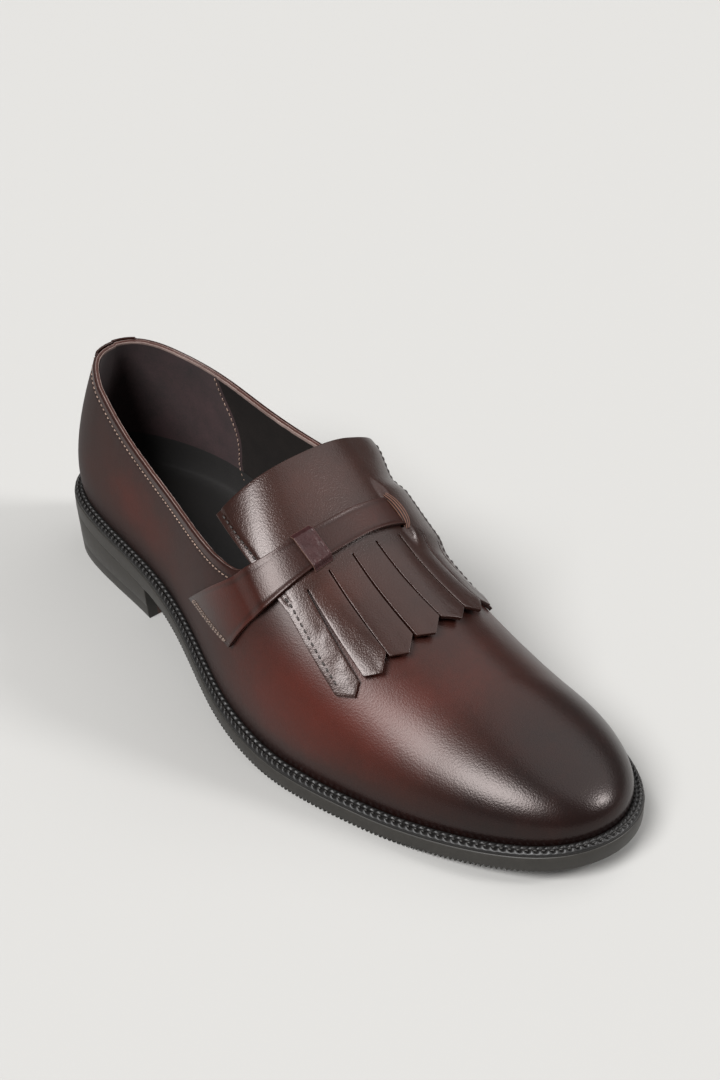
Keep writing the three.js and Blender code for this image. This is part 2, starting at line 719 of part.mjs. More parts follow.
// The fringed tongue: a body above the slits and eight strips below them
function makeFringedTongue() {
  const edgeRows = [0, 0.25, 0.5, 0.75];
  const slotRows = [0, 0.2, 0.4, 0.6, 0.8, 1];
  const stripRows = [0.2, 0.45, 0.7, 0.87, 1];
  const slitRow = edgeRows.length + slotRows.length;
  const inside = [];
  const outside = [];
  const place = (across, along, lift) => {
    const rise = lift + tongueRise(across, along);
    inside.push(onLast(across, along, tongueLow + rise));
    outside.push(onLast(across, along, tongueHigh + rise));
    return inside.length - 1;
  };
  const columns = tongueColumns();
  for (const column of columns) {
    const ratio = column.top / tongueHalfAt(slitLine);
    const edge = lerp(tongueEdge.middle, tongueEdge.side, ratio ** 2);
    const body = [
      ...edgeRows.map((part) => lerp(edge, slotAlong.start, part)),
      ...slotRows.map((part) => lerp(slotAlong.start, slotAlong.end, part)),
      slitLine,
    ];
    column.points = body.map((along) => place(ratio * tongueHalfAt(along), along, 0));
    for (const down of stripRows) {
      const point = stripPoint * (1 - Math.abs(2 * column.part - 1)) * down;
      const along = lerp(slitLine, (column.shoulder + point) / soleLength, down);
      const lift = column.free ? stripLift * down ** 2 : 0;
      column.points.push(place(lerp(column.top, column.end, down), along, lift));
    }
  }
  const quads = [];
  for (let i = 0; i + 1 < columns.length; i += 1) {
    const [left, right] = [columns[i], columns[i + 1]];
    for (let row = 0; row + 1 < left.points.length; row += 1) {
      const inSlit = left.strip !== right.strip && row >= slitRow;
      const inSlot = left.slot && row >= edgeRows.length && row < slitRow - 1;
      if (inSlit || inSlot) continue;
      quads.push([left.points[row], left.points[row + 1], right.points[row + 1], right.points[row]]);
    }
  }
  return sheetSolid('fringed_tongue', inside, outside, quads, darkLeather);
}

// The saddle strap: over the tongue, through the slot on the inner side, and down both sides
function makeStrap() {
  const steps = 26;
  const rows = 4;
  const slotMiddle = (slotAlong.start + slotAlong.end) / 2;
  const dropStart = (slotEdge(0, slotMiddle) + clearance) / fringedTongueHalf;
  const dropEnd = (slotEdge(1, slotMiddle) - clearance) / fringedTongueHalf;
  const drop = [dropStart, (dropStart + dropEnd) / 2, dropEnd];
  const regular = Array.from({ length: steps }, (_, i) => strapPlaces.at(-1) * (i + 1) / steps);
  const apart = regular.filter((place) => drop.every((edge) => Math.abs(edge - place) > 0.02));
  const inner = [...apart, ...drop].sort((a, b) => a - b);
  const stations = [...regular.map((place) => -place).reverse(), 0, ...inner];
  const offsetAt = (place) => {
    const onUpper = smoothstep(-place, strapOverTongue, strapOnUpper);
    const throughSlot = THREE.MathUtils.clamp((place - dropStart) / (dropEnd - dropStart), 0, 1);
    return lerp(strapLow, strapWingLow, Math.max(onUpper, throughSlot));
  };
  const inside = [];
  const outside = [];
  const quads = [];
  stations.forEach((place, column) => {
    const reach = Math.abs(place);
    for (let row = 0; row <= rows; row += 1) {
      const part = row / rows;
      const share = lerp(strapEdges.upperAcross(reach), strapEdges.lowerAcross(reach), part);
      const across = Math.sign(place) * share * fringedTongueHalf;
      const along = lerp(strapEdges.upperAlong(reach), strapEdges.lowerAlong(reach), part);
      inside.push(onLast(across, along, offsetAt(place)));
      outside.push(onLast(across, along, offsetAt(place) + strapLeather));
      if (column > 0 && row > 0) {
        const v = inside.length - 1;
        quads.push([v - rows - 2, v - rows - 1, v, v - 1]);
      }
    }
  });
  return sheetSolid('saddle_strap', inside, outside, quads, burgundyLeather);
}

// The keeper: a loop over the strap whose ends step down on to the tongue
function makeKeeper() {
  const columns = 3;
  const footHigh = strapLow + keeperLeather;
  const rowsAt = (across) => {
    const place = Math.abs(across) / fringedTongueHalf;
    const start = strapEdges.upperAlong(place);
    const end = strapEdges.lowerAlong(place);
    return [
      { along: keeperAlong.start, low: strapLow, high: footHigh },
      { along: start - 3 * keeperStep, low: strapLow, high: footHigh },
      { along: start - 2 * keeperStep, low: strapLow, high: keeperHigh },
      { along: start - keeperStep, low: keeperLow, high: keeperHigh },
      { along: (start + end) / 2, low: keeperLow, high: keeperHigh },
      { along: end + keeperStep, low: keeperLow, high: keeperHigh },
      { along: end + 2 * keeperStep, low: strapLow, high: keeperHigh },
      { along: end + 3 * keeperStep, low: strapLow, high: footHigh },
      { along: keeperAlong.end, low: strapLow, high: footHigh },
    ];
  };
  const inside = [];
  const outside = [];
  const quads = [];
  for (let column = 0; column <= columns; column += 1) {
    const across = keeperWidth * (column / columns - 0.5) - keeperAcross * fringedTongueHalf;
    const rows = rowsAt(across);
    rows.forEach((row, i) => {
      inside.push(onLast(across, row.along, row.low));
      outside.push(onLast(across, row.along, row.high));
      if (column > 0 && i > 0) {
        const v = inside.length - 1;
        quads.push([v - rows.length - 1, v - rows.length, v, v - 1]);
      }
    });
  }
  return sheetSolid('strap_keeper', inside, outside, quads, darkLeather);
}

const loafer = new THREE.Group();
loafer.add(makeOutsole(), makeHeel(), makeWelt(), makeInsole(), makeUpper());
loafer.add(makeFringedTongue(), makeStrap(), makeKeeper());

// The middle of the shoe's box stands over the origin
const middle = new THREE.Box3().setFromObject(loafer).getCenter(new THREE.Vector3());
for (const mesh of loafer.children) mesh.geometry.translate(-middle.x, -middle.y, 0);

export default loafer;
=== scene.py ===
"""A burnished leather loafer with a fringed tongue and saddle strap, on a pale studio floor."""

import math

import bmesh
import bpy
import numpy as np
from bpy.props import FloatProperty, FloatVectorProperty, PointerProperty
from mathutils import Matrix, Vector


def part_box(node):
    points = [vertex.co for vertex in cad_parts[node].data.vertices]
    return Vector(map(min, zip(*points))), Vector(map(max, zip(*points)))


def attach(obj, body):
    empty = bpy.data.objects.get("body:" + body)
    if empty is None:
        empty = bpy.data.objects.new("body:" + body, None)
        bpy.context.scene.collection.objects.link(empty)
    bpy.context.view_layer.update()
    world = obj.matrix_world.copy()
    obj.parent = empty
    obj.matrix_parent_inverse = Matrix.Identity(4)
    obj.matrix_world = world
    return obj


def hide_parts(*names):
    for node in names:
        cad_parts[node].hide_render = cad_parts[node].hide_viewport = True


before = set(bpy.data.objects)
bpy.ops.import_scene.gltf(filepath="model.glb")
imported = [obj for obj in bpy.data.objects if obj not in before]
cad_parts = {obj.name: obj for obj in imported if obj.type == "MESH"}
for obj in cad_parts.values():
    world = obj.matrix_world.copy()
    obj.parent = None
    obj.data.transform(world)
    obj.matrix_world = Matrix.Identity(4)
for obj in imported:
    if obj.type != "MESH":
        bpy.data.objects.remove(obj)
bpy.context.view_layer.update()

bl_info = {
    "name": "Fringed loafer",
    "version": (1, 0, 0),
    "blender": (4, 5, 0),
    "location": "3D View > Sidebar > Loafer",
    "description": "Builds a leather loafer piece by piece over its solids",
    "category": "Add Mesh",
}

# The shoe's own frame is in millimetres: Y runs from the toe to the heel through the middle of
# the sole's length, -X is the outer side of the foot, and Z is up.
SOLE_LENGTH = 300.0
BALL_WIDTH = 104.0
SOLE_THICKNESS = 6.5
HEEL_RISE = 22.6
TOE_SPRING = 8.4
HEEL_LENGTH = 78.0
HEEL_TAPER = 1.2
WELT_WIDTH = 4.0
WELT_THICKNESS = 1.5
WELT_INSET = 0.35
INSTEP_HEIGHT = 99.5
BACK_HEIGHT = 91.0
UPPER_WALL = 2.2
INSOLE_THICKNESS = 3.0
HEEL_STRIP_WIDTH = 18.0
HEEL_STRIP_STEP = 0.8
TONGUE_HALF = 42.5
TONGUE_LEATHER = 1.5
TONGUE_FLARE = 3.0
STRIP_COUNT = 8
STRIP_GAP = 0.6
STRIP_POINT = 3.6
SLIT_LEAN = 2.0
STRIP_DRIFT = 1.0
STRAP_LEATHER = 1.4
KEEPER_WIDTH = 7.6
KEEPER_LEATHER = 1.3
CLEARANCE = 0.3
SOCK_CUP = 11.5
UPPER_INSET = WELT_INSET + WELT_WIDTH + CLEARANCE

# Half widths of the sole, as shares of the ball width, at shares of the length from the heel
OUTLINE = {
    "at": (0.02, 0.05, 0.11, 0.18, 0.26, 0.34, 0.42, 0.50,
           0.58, 0.66, 0.74, 0.82, 0.88, 0.93, 0.97, 0.99),
    "outer": (0.166, 0.238, 0.288, 0.311, 0.334, 0.379, 0.451, 0.524,
              0.561, 0.553, 0.508, 0.443, 0.378, 0.305, 0.214, 0.129),
    "inner": (0.127, 0.199, 0.290, 0.337, 0.339, 0.339, 0.359, 0.393,
              0.429, 0.451, 0.453, 0.426, 0.378, 0.307, 0.212, 0.125),
}
# The sole touches the floor between these shares, and its toe rises with this power
FLOOR_START, FLOOR_END = 0.64, 0.76
TOE_SPRING_POWER = 1.65
# Rise of the sole behind that, as shares of the heel's, at shares of the way to FLOOR_START
SHANK = {
    "at": (0.00, 0.19, 0.36, 0.55, 0.73, 0.90, 0.96, 1.00),
    "rise": (1.000, 0.815, 0.700, 0.515, 0.265, 0.065, 0.015, 0.000),
}
# Height of the upper's crest line, as shares of the instep's
CREST = {
    "at": (0.00, 0.115, 0.22, 0.33, 0.42, 0.50, 0.58, 0.66, 0.74, 0.80, 0.88),
    "height": (1.180, 1.230, 1.264, 1.222, 1.144, 1.000, 0.825, 0.665, 0.536, 0.458, 0.384),
}
# Controls of the cross sections at shares of the length: bulge over the foot, height of the side
# and reach of the shoulder
SIDE_AT = (0.00, 0.12, 0.30, 0.45, 0.60, 0.75, 0.88, 1.00)
OUTER_SIDE = {
    "bulge": (0.105, 0.062, 0.076, 0.081, 0.077, 0.061, 0.055, 0.061),
    "side": (0.24, 0.31, 0.44, 0.54, 0.63, 0.57, 0.54, 0.56),
    "shoulder": (0.02, 0.43, 0.67, 0.76, 0.86, 0.62, 0.53, 0.58),
}
INNER_SIDE = {
    "bulge": (0.105, 0.053, 0.056, 0.052, 0.033, 0.028, 0.049, 0.061),
    "side": (0.24, 0.37, 0.46, 0.49, 0.43, 0.40, 0.48, 0.56),
    "shoulder": (0.02, 0.54, 0.77, 0.92, 0.69, 0.50, 0.51, 0.58),
}
# Sections stand square to the length between these shares, and fan out past them
HEEL_PIVOT, TOE_PIVOT = 0.115, 0.80
# Height of the collar, as shares of the back's
COLLAR = {
    "at": (0.00, 0.06, 0.14, 0.24, 0.34, 0.44, 0.52, 0.62),
    "outer": (1.000, 0.980, 0.890, 0.795, 0.755, 0.755, 0.770, 0.800),
    "inner": (1.000, 0.995, 0.925, 0.845, 0.800, 0.770, 0.770, 0.795),
}
THROAT_START, THROAT_END = 0.52, 0.603
# The heel lining's front edge, from just over the sock up to the collar
HEEL_LINING = {
    "up": (0.00, 0.10, 0.30, 0.50, 0.65, 0.80, 1.00),
    "front": (0.224, 0.210, 0.207, 0.205, 0.197, 0.187, 0.180),
}
# The tongue's free edge, the line where its slits start, and its half width, at shares
TONGUE_EDGE_MIDDLE, TONGUE_EDGE_SIDE = 0.503, 0.474
SLIT_LINE = 0.613
TONGUE_SIDES = {"at": (0.474, 0.545, 0.613), "half": (1.000, 0.950, 0.930)}
# The slits from the middle outwards: shares of the half width where they start and end, and
# shares of the length at which the strips' shoulders lie
STRIPS = {
    "top": (0.000, 0.270, 0.540, 0.795, 1.000),
    "end": (0.000, 0.305, 0.592, 0.860, 1.130),
    "outer": (0.716, 0.717, 0.715, 0.708, 0.699),
    "inner": (0.716, 0.713, 0.703, 0.685, 0.677),
}
# The strap's two edges: across in shares of the tongue's half width, along in shares of the length
STRAP = {
    "upper_across": (0.00, 0.20, 0.40, 0.62, 0.80, 0.99, 1.20, 1.45, 1.78, 2.10),
    "upper_along": (0.573, 0.573, 0.571, 0.566, 0.559, 0.547, 0.529, 0.502, 0.464, 0.425),
    "lower_across": (0.00, 0.20, 0.42, 0.64, 0.84, 1.06, 1.24, 1.42, 1.58, 1.69),
    "lower_along": (0.604, 0.604, 0.603, 0.601, 0.597, 0.589, 0.578, 0.567, 0.557, 0.550),
}
STRAP_OVER_TONGUE, STRAP_ON_UPPER = 1.00, 1.20
KEEPER_ACROSS = 0.49
# The slot for the strap: the strip that it lies in, counted from the middle, its part of that
# strip's width and its ends
SLOT_STRIP = 1
SLOT_PARTS = (1 / 3, 2 / 3)
SLOT_START, SLOT_END = 0.563, 0.609
# How far the slot's lip clears the strap, how far off it starts to rise, and its cut face, in mm
SLOT_LIP, LIP_RUN, LIP_MARGIN = 0.4, 7.0, 2.0
LIP_FACE, LIP_HEIGHT = 2.0, 2.4
# How far stitch rows stand in from the tongue's sides and from the strap's ends, in mm
MARGIN_STITCH = 2.3
STRAP_END_ROWS = (1.3, 3.2)
# Columns of mesh across a strip of the fringe
STRIP_COLUMNS = 12

# Heights of the layers off the last, in mm
TONGUE_LOW = CLEARANCE
TONGUE_HIGH = TONGUE_LOW + TONGUE_LEATHER
STRAP_LOW = TONGUE_HIGH + CLEARANCE
STRAP_WING_LOW = CLEARANCE
STRAP_WING_HIGH = STRAP_WING_LOW + STRAP_LEATHER
OUTER, INNER = -1, 1


def smooth_curve(xs, ys):
    """A natural cubic spline through a table's rows."""
    xs, ys = np.array(xs, float), np.array(ys, float)
    width = np.diff(xs)
    matrix, right = np.eye(len(xs)), np.zeros(len(xs))
    for i in range(1, len(xs) - 1):
        matrix[i, i - 1:i + 2] = width[i - 1], 2 * (width[i - 1] + width[i]), width[i]
        right[i] = 6 * ((ys[i + 1] - ys[i]) / width[i] - (ys[i] - ys[i - 1]) / width[i - 1])
    bend = np.linalg.solve(matrix, right)

    def at(x):
        x = np.clip(x, xs[0], xs[-1])
        i = np.clip(np.searchsorted(xs, x) - 1, 0, len(xs) - 2)
        a = (xs[i + 1] - x) / width[i]
        b = 1 - a
        curl = (a ** 3 - a) * bend[i] + (b ** 3 - b) * bend[i + 1]
        return a * ys[i] + b * ys[i + 1] + curl * width[i] ** 2 / 6

    return at


def lerp(a, b, part):
    """The value a part of the way from a to b."""
    return a + (b - a) * part


def smoothstep(x, low, high):
    """Rises smoothly from 0 at low to 1 at high."""
    part = np.clip((x - low) / (high - low), 0, 1)
    return part * part * (3 - 2 * part)


def outline_side(column):
    """Half width of the sole over the sine of the turn, which keeps the ends round."""
    turns = np.arccos(1 - 2 * np.array(OUTLINE["at"]))
    fullness = np.array(OUTLINE[column]) * BALL_WIDTH / np.sin(turns)
    ends = (fullness[0] + fullness[1]) / 2, (fullness[-1] + fullness[-2]) / 2
    return smooth_curve([0, *turns, math.pi], [ends[0], *fullness, ends[1]])


OUTLINE_CURVES = {OUTER: outline_side("outer"), INNER: outline_side("inner")}
SHANK_CURVE = smooth_curve(SHANK["at"], np.array(SHANK["rise"]) * HEEL_RISE)
CREST_CURVE = smooth_curve(CREST["at"], np.array(CREST["height"]) * INSTEP_HEIGHT)
SIDE_CURVES = {
    side: {key: smooth_curve(SIDE_AT, table[key]) for key in table}
    for side, table in ((OUTER, OUTER_SIDE), (INNER, INNER_SIDE))
}
COLLAR_CURVES = {
    OUTER: smooth_curve(COLLAR["at"], np.array(COLLAR["outer"]) * BACK_HEIGHT),
    INNER: smooth_curve(COLLAR["at"], np.array(COLLAR["inner"]) * BACK_HEIGHT),
}
TONGUE_HALF_AT = smooth_curve(TONGUE_SIDES["at"], np.array(TONGUE_SIDES["half"]) * TONGUE_HALF)
STRIP_TOPS = np.array(STRIPS["top"]) * TONGUE_HALF_AT(SLIT_LINE)
STRIP_ENDS = np.array(STRIPS["end"]) * TONGUE_HALF_AT(SLIT_LINE)
STRIP_SHOULDERS = {
    OUTER: np.array(STRIPS["outer"]) * SOLE_LENGTH,
    INNER: np.array(STRIPS["inner"]) * SOLE_LENGTH,
}
STRIPS_PER_SIDE = STRIP_COUNT // 2
STRAP_PLACES = (np.array(STRAP["upper_across"]) + np.array(STRAP["lower_across"])) / 2
STRAP_EDGES = {key: smooth_curve(STRAP_PLACES, STRAP[key]) for key in STRAP}


def by_side(sign, curves, x):
    """A curve's value on the side that sign gives, -1 for the outer side."""
    return np.where(sign < 0, curves[OUTER](x), curves[INNER](x))


def outline_point(sign, turn):
    """The sole's outline. The turn goes from 0 at the back of the heel to pi at the toe."""
    half = np.sin(turn) * by_side(sign, OUTLINE_CURVES, turn)
    return np.stack([sign * half, SOLE_LENGTH / 2 * np.cos(turn) + 0 * half], -1)


def unit(vectors):
    return vectors / np.maximum(np.linalg.norm(vectors, axis=-1, keepdims=True), 1e-12)


def inset_point(sign, turn, inset):
    """The outline drawn in by a distance, square to its edge."""
    sign, turn = np.broadcast_arrays(np.asarray(sign, float), np.asarray(turn, float))
    along = unit(outline_point(sign, turn + 0.001) - outline_point(sign, turn - 0.001))
    inward = np.stack([-along[..., 1], along[..., 0]], -1) * -sign[..., None]
    inward[turn <= 0] = (0, -1)
    inward[turn >= math.pi] = (0, 1)
    return outline_point(sign, turn) + inward * np.asarray(inset, float)[..., None]


def share_at(y):
    """Share of the sole's length from the heel."""
    return (SOLE_LENGTH / 2 - y) / SOLE_LENGTH


def sole_under(share):
    """Underside of the sole above the floor."""
    shank = np.maximum(0, SHANK_CURVE(share / FLOOR_START))
    spring = TOE_SPRING * np.maximum(0, (share - FLOOR_END) / (1 - FLOOR_END)) ** TOE_SPRING_POWER
    return np.where(share < FLOOR_START, shank, np.where(share <= FLOOR_END, 0, spring))


def sole_top(share):
    return sole_under(share) + SOLE_THICKNESS


def crest_slope(share):
    return (CREST_CURVE(share + 0.002) - CREST_CURVE(share - 0.002)) / (0.004 * SOLE_LENGTH)


def half_section(sign, turn):
    """Bezier controls of half a cross section of the last, its share of the length and way out."""
    foot = inset_point(sign, turn, UPPER_INSET)
    share = share_at(foot[..., 1])
    crest_share = np.clip(share, HEEL_PIVOT, TOE_PIVOT)
    start = np.concatenate([foot, (sole_top(share) + CLEARANCE)[..., None]], -1)
    crest_turn = np.arccos(1 - 2 * crest_share)
    outer = outline_point(np.full_like(crest_turn, OUTER), crest_turn)
    inner = outline_point(np.full_like(crest_turn, INNER), crest_turn)
    end = np.stack([(outer[..., 0] + inner[..., 0]) / 2, SOLE_LENGTH * (0.5 - crest_share),
                    CREST_CURVE(crest_share)], -1)
    out = start - end
    out[..., 2] = 0
    reach = np.linalg.norm(out, axis=-1)
    out = unit(out)
    bulge, side, shoulder = (by_side(sign, {s: SIDE_CURVES[s][key] for s in SIDE_CURVES}, share)
                             for key in ("bulge", "side", "shoulder"))
    fans = (share < HEEL_PIVOT) | (share > TOE_PIVOT)
    slope = np.where(fans, -out[..., 1] * crest_slope(crest_share), 0)
    low = start + out * (bulge * BALL_WIDTH)[..., None]
    low[..., 2] += side * (end[..., 2] - start[..., 2])
    high = end + out * (shoulder * reach)[..., None]
    high[..., 2] += slope * shoulder * reach
    return (start, low, high, end), share, out


def bezier(controls, t):
    a, b, c, d = controls
    t = np.asarray(t)[..., None]
    s = 1 - t
    return a * s ** 3 + 3 * b * s * s * t + 3 * c * s * t * t + d * t ** 3


def last_frame(sign, turn, t):
    """Point of the last, its outward normal and its way up, at height t of a section."""
    sign, turn, t = np.broadcast_arrays(*(np.asarray(v, float) for v in (sign, turn, t)))
    step = 0.002
    controls, share, out = half_section(sign, turn)
    level = np.clip(t, step, 0.99)
    ahead = bezier(half_section(sign, np.minimum(turn + step, math.pi))[0], level)
    behind = bezier(half_section(sign, np.maximum(turn - step, 0))[0], level)
    up = bezier(controls, level + step) - bezier(controls, level - step)
    normal = unit(np.cross(ahead - behind, up)) * -sign[..., None]
    crest = np.clip(share, HEEL_PIVOT, TOE_PIVOT)
    top = unit(np.stack([0 * crest, crest_slope(crest), 0 * crest + 1], -1))
    normal = np.where((t > 0.999)[..., None], top, normal)
    normal = np.where((t < 0.001)[..., None], out, normal)
    return bezier(controls, t), normal, unit(up)


def last_point(sign, turn, t, offset):
    """A point a distance off the last."""
    point, normal, _ = last_frame(sign, turn, t)
    return point + normal * np.asarray(offset, float)[..., None]


def level_at(sign, turn, height):
    """The t at which a section reaches a height above the floor."""
    controls = half_section(sign, turn)[0]
    low, high = np.zeros(np.shape(turn)), np.ones(np.shape(turn))
    for _ in range(30):
        middle = (low + high) / 2
        below = bezier(controls, middle)[..., 2] < height
        low, high = np.where(below, middle, low), np.where(below, high, middle)
    return (low + high) / 2


TURNS = np.linspace(0, math.pi, 4001)
SHARES = {s: share_at(inset_point(s, TURNS, UPPER_INSET)[:, 1]) for s in (OUTER, INNER)}


def turn_at(sign, share):
    """The turn whose section stands at a share of the length."""
    return np.where(np.asarray(sign) < 0, np.interp(share, SHARES[OUTER], TURNS),
                    np.interp(share, SHARES[INNER], TURNS))


def collar_level(sign, turn, drop=0.0):
    """The t of a section's collar edge, or of a line a little below it."""
    share = half_section(sign, turn)[1]
    climb = np.clip((share - THROAT_START) / (THROAT_END - THROAT_START), 0, 1) ** 2
    crest = CREST_CURVE(np.clip(share, HEEL_PIVOT, TOE_PIVOT))
    return level_at(sign, turn, lerp(by_side(sign, COLLAR_CURVES, share), crest, climb) - drop)


ALONGS = np.linspace(0.36, 0.80, 111)
CREST_STEPS = np.linspace(1, 0, 81)


def reach_table(sign):
    """Distances round the last from the crest, for each of ALONGS and CREST_STEPS."""
    turn = turn_at(sign, ALONGS)
    grid = np.meshgrid(turn, CREST_STEPS, indexing="ij")
    controls = half_section(np.full(grid[0].shape, float(sign)), grid[0])[0]
    points = bezier(controls, grid[1])
    steps = np.linalg.norm(np.diff(points, axis=1), axis=-1)
    return np.concatenate([np.zeros((len(ALONGS), 1)), np.cumsum(steps, axis=1)], 1)


REACH = {s: reach_table(s) for s in (OUTER, INNER)}


def pattern_turn(across, along):
    """Side, turn and t of a place on the cut pattern, across in mm from the crest."""
    across, along = np.broadcast_arrays(np.asarray(across, float), np.asarray(along, float))
    sign = np.where(across < 0, OUTER, INNER).astype(float)
    row = np.clip((along - ALONGS[0]) / (ALONGS[1] - ALONGS[0]), 0, len(ALONGS) - 1.001)
    i = row.astype(int)
    part = (row - i)[..., None]
    pick = (sign < 0)[..., None]
    near = np.where(pick, REACH[OUTER][i], REACH[INNER][i])
    far = np.where(pick, REACH[OUTER][i + 1], REACH[INNER][i + 1])
    lengths = lerp(near, far, part)
    reach = np.minimum(np.abs(across), lengths[..., -1])
    k = np.clip((lengths < reach[..., None]).sum(-1) - 1, 0, lengths.shape[-1] - 2)[..., None]
    low = np.take_along_axis(lengths, k, -1)[..., 0]
    high = np.take_along_axis(lengths, k + 1, -1)[..., 0]
    t = 1 - (k[..., 0] + (reach - low) / (high - low)) / (len(CREST_STEPS) - 1)
    return sign, turn_at(sign, along), np.clip(t, 0, 1)


def on_last(across, along, offset):
    """A place of the cut pattern, a distance off the last."""
    sign, turn, t = pattern_turn(across, along)
    return last_point(sign, turn, t, np.broadcast_to(offset, turn.shape))


def loop_stations(spacing, inset=0.0, low=0.0, high=1.0):
    """Sides and turns at even steps round the outline, or round the part between two shares."""
    samples = 3000
    turns = np.linspace(1e-4, math.pi - 1e-4, samples)
    signs = np.repeat((-1.0, 1.0), samples)
    round_turns = np.concatenate([turns, turns[::-1]])
    points = inset_point(signs, round_turns, inset)
    shares = share_at(points[:, 1])
    keep = (shares >= low) & (shares <= high)
    signs, round_turns, points = signs[keep], round_turns[keep], points[keep]
    lengths = np.concatenate([[0], np.cumsum(np.linalg.norm(np.diff(points, axis=0), axis=1))])
    count = max(8, int(lengths[-1] / spacing))
    wanted = np.arange(count) * lengths[-1] / count
    i = np.clip(np.searchsorted(lengths, wanted), 1, len(lengths) - 1)
    part = (wanted - lengths[i - 1]) / np.maximum(lengths[i] - lengths[i - 1], 1e-9)
    return signs[i], lerp(round_turns[i - 1], round_turns[i], part), wanted


def frame_shift():
    """From the middle of the sole's length to the middle of the shoe's box."""
    signs, turns, _ = loop_stations(0.5)
    low = outline_point(signs, turns).min(0)
    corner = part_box("outsole")[0]
    return np.array([corner.x * 1000 - low[0], corner.y * 1000 - low[1], 0.0])


SHIFT = frame_shift()


def noise(points, size, seed=0):
    """Soft value noise from -1 to 1, the same on each run."""
    cells = points / size + seed * 17.3
    base = np.floor(cells).astype(np.int64)
    part = cells - base
    part = part * part * (3 - 2 * part)
    total = np.zeros(len(points))
    for corner in np.ndindex(2, 2, 2):
        key = base + np.array(corner)
        # Large primes spread neighbouring cells over all values
        mixed = key[:, 0] * 73856093 ^ key[:, 1] * 19349663 ^ key[:, 2] * 83492791
        value = ((mixed * 2654435761) % 65536) / 32768 - 1
        weight = np.prod(np.where(np.array(corner) == 1, part, 1 - part), axis=1)
        total += value * weight
    return total


def linear(hex_colour):
    """An sRGB hex colour as linear red, green and blue."""
    channels = [int(hex_colour[i:i + 2], 16) / 255 for i in (1, 3, 5)]
    return tuple(c / 12.92 if c <= 0.04045 else ((c + 0.055) / 1.055) ** 2.4 for c in channels)


def per_mm(size):
    """Texture scale at which one cell is a size in millimetres, in object coordinates."""
    return 1000.0 / size


def add_node(tree, kind, settings=None, links=None):
    """Adds a node, sets its properties and sockets, and links its inputs."""
    node = tree.nodes.new(kind)
    for key, value in (settings or {}).items():
        if isinstance(key, int) or key in node.inputs:
            node.inputs[key].default_value = value
        else:
            setattr(node, key, value)
    for key, source in (links or {}).items():
        tree.links.new(source, node.inputs[key])
    return node


def new_material(name):
    material = bpy.data.materials.new(name)
    material.use_nodes = True
    material.node_tree.nodes.clear()
    return material, material.node_tree


def finish_material(tree, shader):
    add_node(tree, "ShaderNodeOutputMaterial", links={"Surface": shader.outputs[0]})


def set_stops(ramp, stops):
    elements = ramp.color_ramp.elements
    while len(elements) < len(stops):
        elements.new(0.5)
    for element, (position, colour) in zip(elements, stops):
        element.position = position
        element.color = (*colour[:3], 1)


# Sizes in mm of the leather's clouds and streaks of dye, and how far each changes the tone
CLOUD_SIZE, CLOUD_SPREAD = 16, 0.42
STREAK_SIZE, STREAK_SPREAD = 2.4, 0.22
# How much rougher the leather is where it got less wax
DULL_ROUGHNESS = 0.34


